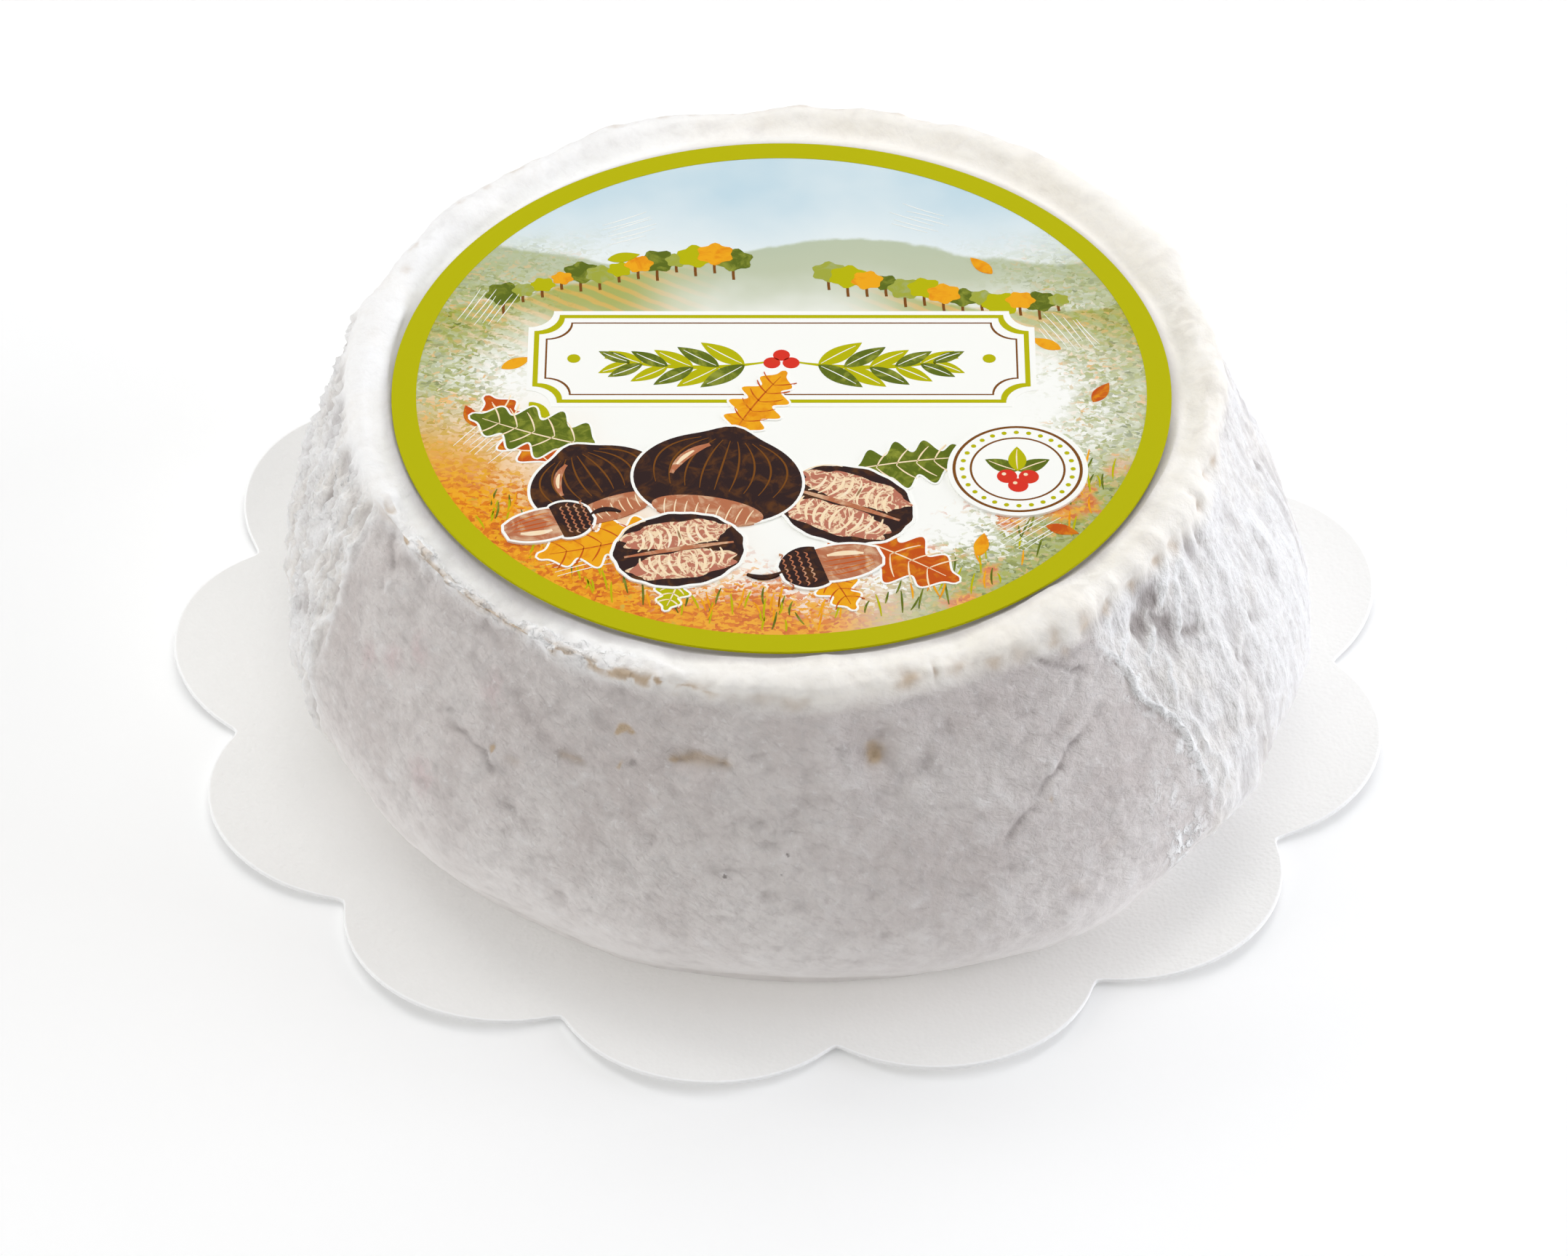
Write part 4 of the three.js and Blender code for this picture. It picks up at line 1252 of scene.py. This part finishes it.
def scooped_plaque(width, deep):
    """A rectangle whose corners are cut by quarter circles."""
    points = []
    for side_x, side_y, start in ((1, 1, 270), (-1, 1, 360), (-1, -1, 90), (1, -1, 180)):
        middle = np.array([side_x * width / 2, side_y * deep / 2])
        for share in np.linspace(0, 1, 10):
            angle = math.radians(start - 90 * share)
            points.append(middle + PLAQUE_SCOOP * np.array([math.cos(angle), math.sin(angle)]))
    return np.array(points)


def stroke(points, width, taper=True):
    """A drawn line of a given width, thinner towards its ends."""
    points = np.asarray(points, float)
    slope = np.gradient(points, axis=0)
    slope /= np.linalg.norm(slope, axis=1)[:, None]
    normal = np.stack([-slope[:, 1], slope[:, 0]], 1)
    share = np.linspace(0, 1, len(points))
    half = width / 2 * (np.sin(math.pi * np.clip(share, 0.06, 0.94)) ** 0.5 if taper else 1.0)
    half = np.broadcast_to(half, len(points))[:, None]
    return np.concatenate([points + normal * half, (points - normal * half)[::-1]])


def arc_points(start, end, bend, count=14):
    """Points from start to end on a curve that bows sideways by bend."""
    start, end = np.asarray(start, float), np.asarray(end, float)
    share = np.linspace(0, 1, count)[:, None]
    along = end - start
    normal = np.array([-along[1], along[0]]) / np.linalg.norm(along)
    return start + along * share + normal * bend * 4 * share * (1 - share)


def placed_arc(start, end, bend, centre, turn, count=14):
    """A curve of a motif, where the motif is."""
    return placed(arc_points(start, end, bend, count), centre, turn)


def grown(points, margin):
    """The outline moved outward by a margin, for a pale halo behind a motif."""
    before, after = np.roll(points, 1, axis=0), np.roll(points, -1, axis=0)
    slope = after - before
    slope /= np.linalg.norm(slope, axis=1)[:, None] + 1e-9
    outward = np.stack([slope[:, 1], -slope[:, 0]], 1)
    area = np.sum(points[:, 0] * after[:, 1] - after[:, 0] * points[:, 1])
    return points + outward * margin * (1 if area > 0 else -1)


class Print:
    """Collects flat motifs by ink; what is drawn later lies an ink step higher."""

    def __init__(self, paper_top, step):
        self.paper_top = paper_top
        self.step = step
        self.layers = 0
        self.inks = {}

    def level(self):
        """The height of a new layer over all that is drawn."""
        self.layers += 1
        return self.paper_top + self.step * self.layers

    def store(self, ink, vertices, faces):
        """Joins a motif's points and faces to those of its ink."""
        old_vertices, old_faces = self.inks.setdefault(ink, ([], []))
        base = len(old_vertices)
        old_vertices.extend(vertices)
        old_faces.extend([[base + corner for corner in face] for face in faces])

    def shape(self, ink, outline, level=None):
        """A filled outline as a thin closed slab."""
        level = self.level() if level is None else level
        outline = np.asarray(outline)
        after = np.roll(outline, -1, axis=0)
        if np.sum(outline[:, 0] * after[:, 1] - after[:, 0] * outline[:, 1]) < 0:
            outline = outline[::-1]
        count = len(outline)
        bottom = self.paper_top - self.step
        vertices = [(x, y, bottom) for x, y in outline] + [(x, y, level) for x, y in outline]
        faces = [list(range(count))[::-1], list(range(count, 2 * count))]
        faces += [[i, (i + 1) % count, count + (i + 1) % count, count + i] for i in range(count)]
        self.store(ink, vertices, faces)

    def band(self, ink, outer, inner, level=None):
        """The strip between two outlines with as many points each."""
        level = self.level() if level is None else level
        bottom = self.paper_top - self.step
        count = len(outer)
        vertices = []
        for outline, height in ((outer, bottom), (outer, level), (inner, level), (inner, bottom)):
            vertices += [(x, y, height) for x, y in outline]
        faces = []
        for loop in range(4):
            this, following = loop * count, (loop + 1) % 4 * count
            faces += [[this + i, this + (i + 1) % count, following + (i + 1) % count, following + i]
                      for i in range(count)]
        self.store(ink, vertices, faces)

    def shapes(self, ink, outlines):
        """Several outlines on one level."""
        level = self.level()
        for outline in outlines:
            self.shape(ink, outline, level)

    def lines(self, ink, strokes, width, taper=True):
        """Several thin strokes on one level."""
        self.shapes(ink, [stroke(points, width, taper) for points in strokes])


def draw_border(sheet, radius, width):
    """The olive ring round the label."""
    sheet.band("olive", disc_outline((0, 0), radius, 256), disc_outline((0, 0), radius - width, 256))


def draw_plaque(sheet, centre):
    """A bare plaque with a double outline and a leafy sprig."""
    def outline(inset):
        return placed(scooped_plaque(PLAQUE_WIDTH - 2 * inset, PLAQUE_DEPTH - 2 * inset), centre)

    sheet.shape("white", outline(0))
    level = sheet.level()
    for ink, outer, inner in PLAQUE_LINES:
        sheet.band(ink, outline(outer), outline(inner), level)
    x, y = centre
    leaves = {"olive": [], "leaf": []}
    veins = []
    for side in (-1, 1):
        stem = arc_points((x + side * 1.5, y - 0.6), (x + side * 24, y + 0.2), side * -1.6)
        sheet.shape("olive", stroke(stem, 0.8), level)
        for index in range(6):
            start = stem[2 + 2 * index - (index > 4)]
            grow = 7.6 - 0.55 * index
            for up in (-1, 1):
                turn = (0 if side > 0 else 180) + side * up * (38 - 2 * index)
                ink = "olive" if (index + (up > 0)) % 2 else "leaf"
                leaves[ink].append(placed(plain_leaf(grow, grow * 0.38), start, turn))
                veins.append(placed_arc((0.5, 0), (grow * 0.85, 0), 0.1, start, turn, 6))
    for ink, outlines in leaves.items():
        sheet.shapes(ink, outlines)
    sheet.lines("white", veins, 0.16)
    sheet.shapes("berry", [disc_outline((x + shift, y - 0.4 + lift), 1.15, 24)
                           for shift, lift in ((-1.3, -0.5), (1.3, -0.5), (0, 1.1))])
    sheet.shapes("olive", [disc_outline((x + shift, y), 0.9, 16) for shift in (-28.2, 28.2)])


def draw_oak_leaf(sheet, ink, centre, turn, size):
    """An oak leaf with a pale halo, a midrib and side veins."""
    width = size * 0.56
    outline = placed(oak_leaf(size, width), centre, turn)
    sheet.shape("white", grown(outline, 0.3))
    sheet.shape(ink, outline)
    veins = [placed_arc((-0.14 * size, 0), (size * 0.9, 0), 0.03 * size, centre, turn)]
    for share in (0.16, 0.32, 0.48, 0.62, 0.76):
        for up in (-1, 1):
            start = np.array([share * size, 0.0])
            end = start + np.array([0.13 * size, up * width * 0.32])
            veins.append(placed_arc(start, end, up * 0.2, centre, turn, 6))
    sheet.lines("cream" if ink != "gold" else "rust", veins, 0.24)


def draw_acorn(sheet, centre, turn, size):
    """An acorn with its scaly cup, stalk and highlights."""
    width = size * 0.56
    nut = placed(acorn(size, width), centre, turn)
    cup_outline = mirrored_sides(np.linspace(-0.14, 0.34, 20) * size,
                                 width * 0.6 * np.sin(math.pi * np.linspace(0.02, 0.72, 20)) ** 0.5 + 1e-4)
    cup = placed(cup_outline, centre, turn)
    stalk = stroke(placed_arc((-0.12 * size, 0), (-0.5 * size, 0.06 * size), 0.8, centre, turn), 0.8)
    sheet.shape("white", grown(nut, 0.4))
    sheet.shape("white", grown(cup, 0.4))
    sheet.shape("bark", stalk)
    sheet.shape("nut", nut)
    gleam = placed_arc((0.42 * size, 0.24 * width), (0.82 * size, 0.14 * width), 0.25, centre, turn)
    grain = [placed_arc((0.36 * size, place * width), (0.9 * size, place * 0.6 * width), place, centre, turn)
             for place in (-0.34, -0.2, -0.06, 0.08)]
    sheet.lines("rust", grain, 0.22)
    sheet.shape("cream", stroke(gleam, 0.9))
    sheet.shape("bark", cup)
    scales = []
    for row in range(4):
        for column in range(-3 + row % 2, 4):
            middle = ((-0.06 + 0.09 * row) * size, (column - 0.5 * (row % 2)) * width * 0.15)
            if abs(middle[1]) < width * 0.5:
                scales.append(placed_arc((-0.3, -0.45), (-0.3, 0.45), -0.35, middle, 0, 6))
    sheet.lines("nut", [placed(points, centre, turn) for points in scales], 0.24)


def draw_chestnut(sheet, centre, turn, size):
    """A dark chestnut with a pale base and soft highlights."""
    outline = placed(chestnut(size), centre, turn)
    sheet.shape("white", grown(outline, 0.4))
    sheet.shape("bark", outline)
    base = placed(ellipse((0, -0.3 * size), 0.36 * size, 0.13 * size), centre, turn)
    sheet.shape("nut", base)
    flecks = [placed_arc((x, -0.38 * size), (x * 1.1, -0.24 * size), 0.1, centre, turn, 5)
              for x in np.linspace(-0.26, 0.26, 9) * size]
    sheet.lines("cream", flecks, 0.2)
    streaks = [placed_arc((x * 0.5, 0.38 * size), (x, -0.1 * size), x * 0.35, centre, turn)
               for x in np.linspace(-0.38, 0.38, 9) * size]
    gleam = placed_arc((-0.3 * size, 0.0), (-0.12 * size, 0.32 * size), 0.9, centre, turn)
    sheet.lines("line", streaks, 0.26)
    sheet.shape("nut", stroke(gleam, 0.065 * size))
    sheet.shape("cream", stroke(gleam[3:10], 0.03 * size))


def draw_walnut(sheet, centre, turn, size):
    """Half a walnut: a dark shell round a pale, folded kernel."""
    angle = np.arange(72) * TURN / 72
    shell = np.stack([0.54 * size * np.cos(angle), 0.44 * size * np.sin(angle)], 1)
    shell = shell * (1 + 0.012 * np.sin(9 * angle) + 0.01 * np.sin(17 * angle))[:, None]
    sheet.shape("white", grown(placed(shell, centre, turn), 0.45))
    sheet.shape("bark", placed(shell, centre, turn))
    lobes, folds = [], []
    for side in (-1, 1):
        ripple = 1 + 0.06 * np.sin(7 * angle + side) + 0.03 * np.sin(13 * angle)
        lobe = np.stack([0.45 * size * np.cos(angle), side * 0.185 * size + 0.165 * size * np.sin(angle)], 1)
        middle = np.array([0, side * 0.185 * size])
        lobes.append(placed(middle + (lobe - middle) * ripple[:, None], centre, turn))
        for share in np.linspace(-0.8, 0.8, 9):
            start = (share * 0.42 * size, side * 0.04 * size)
            end = (share * 0.34 * size, side * (0.31 - 0.1 * share**2) * size)
            bend = 0.035 * size * (1 if share > 0 else -1)
            folds.append(placed_arc(start, end, bend, centre, turn, 10))
    sheet.shapes("kernel", lobes)
    sheet.lines("cream", folds, 0.026 * size)
    spine = placed_arc((-0.46 * size, 0), (0.46 * size, 0), 0.01 * size, centre, turn)
    sheet.lines("nut", [spine], 0.05 * size)
    gleam = placed_arc((-0.47 * size, 0.2 * size), (-0.2 * size, 0.4 * size), 0.05 * size, centre, turn)
    sheet.lines("cream", [gleam], 0.2)


def draw_harvest(sheet):
    """Chestnuts, walnut halves, acorns and oak leaves, left of the middle."""
    for ink, centre, turn, size in (("rust", (-31, -15), 124, 16), ("gold", (-16, -29), 198, 17),
                                    ("leaf", (-25, -12), 160, 18), ("rust", (6, -29), -30, 20),
                                    ("leaf", (10, -17), 10, 17), ("gold", (-6, -9), 62, 14),
                                    ("olive", (-13, -36), -104, 9), ("gold", (4, -34), -62, 12)):
        draw_oak_leaf(sheet, ink, centre, turn, size)
    draw_chestnut(sheet, (-24.5, -20), 26, 17)
    draw_walnut(sheet, (8.5, -24), -24, 17)
    draw_chestnut(sheet, (-8.5, -19), -12, 21)
    draw_walnut(sheet, (-13.5, -33), 12, 16)
    draw_acorn(sheet, (1.5, -37), 14, 12)
    draw_acorn(sheet, (-26.5, -26.5), 198, 10.5)


def draw_seal(sheet, centre, size):
    """A round seal with plain rings, two leaves and three berries."""
    x, y = centre
    sheet.shape("white", disc_outline(centre, size, 72))
    level = sheet.level()
    for outer, width in ((size - 0.7, 0.42), (size - 3.0, 0.3)):
        sheet.band("line", disc_outline(centre, outer, 72), disc_outline(centre, outer - width, 72), level)
    for index in range(28):
        angle = TURN * index / 28
        middle = (x + (size - 2.0) * math.cos(angle), y + (size - 2.0) * math.sin(angle))
        sheet.shape("olive", disc_outline(middle, 0.36, 10), level)
    for turn, ink in ((28, "leaf"), (152, "leaf"), (90, "olive")):
        sheet.shape(ink, placed(plain_leaf(size * 0.52, size * 0.26), (x, y - 0.4), turn))
    sheet.lines("cream", [placed_arc((0.4, 0), (size * 0.46, 0), 0.1, (x, y - 0.4), turn, 8)
                          for turn in (28, 152, 90)], 0.2)
    berries = [(x - 1.45, y - 1.5), (x + 1.45, y - 1.6), (x, y - 3.3)]
    for middle in berries:
        sheet.shape("berry", disc_outline(middle, 1.35, 28))
    sheet.shapes("cream", [disc_outline((east - 0.4, north + 0.45), 0.3, 12) for east, north in berries])


def draw_meadow(sheet, inner_radius):
    """Blades, falling leaves and white hatching round the edge of the picture."""
    random = np.random.default_rng(7)
    blades = {"leaf": [], "olive": [], "gold": []}
    for index in range(120):
        angle = math.radians(random.uniform(-150, -22))
        reach = inner_radius - random.uniform(0.6, 6.0)
        root = np.array([reach * math.cos(angle), reach * math.sin(angle)])
        tip = root + np.array([random.uniform(-1.2, 1.2), random.uniform(1.8, 4.6)])
        ink = ("leaf", "olive", "gold")[index % 3]
        if np.hypot(*tip) < inner_radius - 0.4:
            blades[ink].append(arc_points(root, tip, random.uniform(-0.2, 0.2), 6))
    for ink, strokes in blades.items():
        sheet.lines(ink, strokes, 0.3)
    hatching = []
    for x, y, turn, extent, count in ((-41, -13, 52, 10, 9), (-30, -35, 20, 9, 7), (30, -30, 40, 9, 8),
                                      (-42, 14, 64, 8, 7), (40, 8, 118, 9, 8), (-24, 33, 24, 8, 6),
                                      (22, 34, 156, 8, 6)):
        for index in range(count):
            start = placed([(random.uniform(-0.6, 0.6) * 2, (index - count / 2) * 0.85)], (x, y), turn)[0]
            end = placed([(extent * random.uniform(0.6, 1.0), random.uniform(-0.3, 0.3))], start, turn)[0]
            if max(np.hypot(*start), np.hypot(*end)) < inner_radius - 0.6:
                hatching.append(arc_points(start, end, random.uniform(-0.15, 0.15), 6))
    sheet.lines("white", hatching, 0.13)
    falling = {"gold": [], "rust": [], "olive": []}
    for index, (x, y, turn) in enumerate(((-38, 4, 30), (-41, -8, 110), (-34, -3, -50), (38, 8, 150),
                                          (42, -3, 60), (18, -39, 20), (26, -34, 80), (35, -28, -20),
                                          (-24, 27, 15), (29, 24, 130))):
        falling[("gold", "rust", "olive")[index % 3]].append(placed(plain_leaf(4.6, 2.0), (x, y), turn))
    for ink, outlines in falling.items():
        sheet.shapes(ink, outlines)


def draw_back_hills(sheet):
    """Round trees along the hills at the back, in clumps of simple crowns."""
    random = np.random.default_rng(12)
    crowns = {"leaf": [], "meadow": [], "olive": [], "gold": []}
    trunks = []
    for index in range(30):
        x = -38 + index * 2.62
        y = 22.5 + 5 * math.sin(x * 0.072 + 2.2) + random.uniform(-0.5, 0.9)
        size = random.uniform(1.3, 2.6)
        if math.hypot(x, y) > 44 or abs(x) < 5:
            continue
        ripple = 1 + 0.12 * np.sin(np.arange(28) * TURN * 6 / 28 + index)
        lumps = ellipse((0, 0), size, size * 0.9, count=28) * ripple[:, None]
        crowns[("leaf", "meadow", "olive", "gold")[index % 4]].append(placed(lumps, (x, y)))
        trunks.append(arc_points((x, y - size * 1.7), (x, y), 0.1, 5))
    sheet.lines("line", trunks, 0.4, False)
    for ink, outlines in crowns.items():
        sheet.shapes(ink, outlines)


# Printed colours: main colour, second colour, how much of the second, and whether it runs in veins
INKS = {
    "olive": ("olive", "olive", 0.0, False),
    "white": ("paper", "paper", 0.0, False),
    "leaf": ("leaf", "meadow", 0.7, False),
    "meadow": ("meadow", "hill", 0.6, False),
    "gold": ("gold", "amber", 0.8, False),
    "rust": ("rust", "gold", 0.6, False),
    "bark": ("bark", "line", 0.45, False),
    "nut": ("nut", "cream", 0.55, False),
    "kernel": ("kernel", "cream", 0.9, True),
    "cream": ("cream", "paper", 0.3, False),
    "berry": ("berry", "rust", 0.2, False),
    "line": ("line", "line", 0.0, False),
}


def ink_finish(label, ink):
    """A printed colour that runs into a second one like a wash or in thin veins."""
    main, second, share, veined = INKS[ink]
    wash = Finish("ink_" + ink)
    point = wash.place()
    pool = wash.noise(point, 1.9 if veined else 2.6, 4.0, 0.6, 0.9)
    spread = (pool - 0.5).size().rise(0.07, 0.015) if veined else pool.rise(0.45, 0.72)
    tint = wash.mix(spread * share, getattr(label, main), getattr(label, second))
    return wash.surface(Base_Color=tint, Roughness=0.6, Specular_IOR_Level=0.05)


class CHEESE_OT_print(bpy.types.Operator):
    """Add the label's printed border, plaque and autumn motifs"""
    bl_idname = "cheese.add_print"
    bl_label = "Label Print"

    def execute(self, context):
        label = millimetres(context.scene.cheese_label)
        bare_edge = 0.05
        radius = frame_radius("paper_label") - bare_edge
        sheet = Print(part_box("paper_label")[1].z / MM, label.ink_step)
        draw_back_hills(sheet)
        draw_meadow(sheet, radius - label.ring_width)
        draw_border(sheet, radius, label.ring_width)
        draw_plaque(sheet, PLAQUE_CENTRE)
        draw_harvest(sheet)
        draw_seal(sheet, SEAL_CENTRE, SEAL_RADIUS)
        for ink, (vertices, faces) in sheet.inks.items():
            new_piece("print_" + ink, vertices, faces, ink_finish(label, ink), False)
        return {"FINISHED"}


# Stage

FLOOR_WIDTH = 6.0
ROOM_TINT = (1.0, 0.99, 0.98, 1.0)


def add_panel(name, place, width, deep, power, tint):
    """An area light that faces the cheese."""
    light = bpy.data.lights.new(name, "AREA")
    light.shape = "RECTANGLE"
    light.size = width
    light.size_y = deep
    light.energy = power
    light.color = tint
    light.use_shadow = name != "fill"
    lamp = bpy.data.objects.new(name, light)
    lamp.location = place
    lamp.rotation_euler = (Vector(PANEL_AIM) - Vector(place)).to_track_quat("-Z", "Y").to_euler()
    bpy.context.scene.collection.objects.link(lamp)


# Soft panels round the cheese: place and size in metres, watts, tint; the fill casts no shadows.
# All face one point of the wheel
PANEL_AIM = (0, 0, 0.02)
PANELS = [
    ("fill", (0.0, 0.0, 1.3), 1.2, 1.2, 7.6, (0.97, 0.99, 1.0)),
    ("above", (0.0, 0.0, 1.3), 1.2, 1.2, 5.2, (1.0, 0.98, 0.95)),
    ("above_back", (0.0, 0.9, 1.0), 1.4, 0.8, 6.5, (1.0, 0.985, 0.965)),
    ("back_left", (-0.85, 0.85, 0.5), 0.8, 0.6, 0.7, (0.9, 0.94, 1.0)),
    ("back_right", (0.85, 0.85, 0.5), 0.8, 0.6, 2.0, (0.88, 0.92, 1.0)),
    ("right", (1.2, 0.0, 0.35), 0.8, 0.7, 7.9, (0.9, 0.93, 1.0)),
    ("left", (-1.2, 0.0, 0.35), 0.8, 0.7, 1.2, (0.95, 0.97, 1.0)),
    ("left_front", (-1.0, -0.55, 0.4), 0.6, 0.5, 4.1, (1.0, 0.98, 0.96)),
    ("right_front", (1.0, -0.55, 0.4), 0.6, 0.5, 1.3, (1.0, 0.9, 0.86)),
    ("key_left", (-0.6, 0.5, 0.8), 0.25, 0.25, 0.8, (1.0, 0.98, 0.96)),
    ("key_top", (0.1, 0.3, 1.1), 0.25, 0.25, 0.4, (1.0, 0.98, 0.95)),
]


class CHEESE_OT_stage(bpy.types.Operator):
    """Add the studio floor, its lights and the camera"""
    bl_idname = "cheese.add_stage"
    bl_label = "Studio Stage"

    def execute(self, context):
        stage = context.scene.cheese_stage
        half = FLOOR_WIDTH / 2
        floor_mesh = bpy.data.meshes.new("floor")
        floor_mesh.from_pydata([(-half, -half, 0), (half, -half, 0), (half, half, 0), (-half, half, 0)],
                               [], [(0, 1, 2, 3)])
        finish = Finish("floor")
        floor_mesh.materials.append(finish.surface(Base_Color=tuple(stage.floor), Roughness=0.6,
                                                   Specular_IOR_Level=0.2))
        floor = bpy.data.objects.new("floor", floor_mesh)
        context.scene.collection.objects.link(floor)
        for name, place, width, deep, power, tint in PANELS:
            add_panel(name, place, width, deep, power * stage.brightness, tint)
        world = bpy.data.worlds.new("room")
        world.use_nodes = True
        background = world.node_tree.nodes["Background"]
        background.inputs["Color"].default_value = ROOM_TINT
        background.inputs["Strength"].default_value = stage.world
        context.scene.world = world
        context.scene.view_settings.view_transform = "Standard"
        self.add_camera(context, stage)
        return {"FINISHED"}

    @staticmethod
    def add_camera(context, stage):
        card_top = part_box("cheese_wheel")[0].z - GAP * MM
        target = Vector((stage.target_x, stage.target_y, card_top))
        back = Vector((0, -math.cos(stage.elevation), math.sin(stage.elevation)))
        camera = bpy.data.cameras.new("camera")
        camera.lens = stage.focal
        camera.sensor_width = 36.0
        camera.clip_start = 0.05
        holder = bpy.data.objects.new("camera", camera)
        holder.location = target + back * stage.distance
        holder.rotation_euler = (-back).to_track_quat("-Z", "Y").to_euler()
        context.scene.collection.objects.link(holder)
        context.scene.camera = holder


class CHEESE_PT_panel(bpy.types.Panel):
    """Lists the pieces of the cheese and their settings"""
    bl_idname = "CHEESE_PT_panel"
    bl_label = "Soft Cheese Wheel"
    bl_space_type = "VIEW_3D"
    bl_region_type = "UI"
    bl_category = "Cheese"

    def draw(self, context):
        for operator, group in SECTIONS:
            box = self.layout.box()
            box.operator(operator)
            settings = getattr(context.scene, group)
            for name in settings.__annotations__:
                box.prop(settings, name)


SECTIONS = [
    ("cheese.add_card", "cheese_card"),
    ("cheese.add_wheel", "cheese_wheel"),
    ("cheese.add_label", "cheese_label"),
    ("cheese.add_print", "cheese_label"),
    ("cheese.add_stage", "cheese_stage"),
]
GROUPS = {
    "cheese_wheel": CheeseWheelSettings,
    "cheese_card": CheeseCardSettings,
    "cheese_label": CheeseLabelSettings,
    "cheese_stage": CheeseStageSettings,
}
OPERATORS = [CHEESE_OT_wheel, CHEESE_OT_card, CHEESE_OT_label, CHEESE_OT_print, CHEESE_OT_stage]


def register():
    for group in GROUPS.values():
        bpy.utils.register_class(group)
    for operator in OPERATORS:
        bpy.utils.register_class(operator)
    bpy.utils.register_class(CHEESE_PT_panel)
    for name, group in GROUPS.items():
        setattr(bpy.types.Scene, name, PointerProperty(type=group))


def unregister():
    for name in GROUPS:
        delattr(bpy.types.Scene, name)
    bpy.utils.unregister_class(CHEESE_PT_panel)
    for group in [*OPERATORS, *GROUPS.values()]:
        bpy.utils.unregister_class(group)


def main():
    register()
    bpy.ops.cheese.add_card()
    bpy.ops.cheese.add_wheel()
    bpy.ops.cheese.add_label()
    bpy.ops.cheese.add_print()
    bpy.ops.cheese.add_stage()
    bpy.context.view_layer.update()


if __name__ == "__main__":
    main()
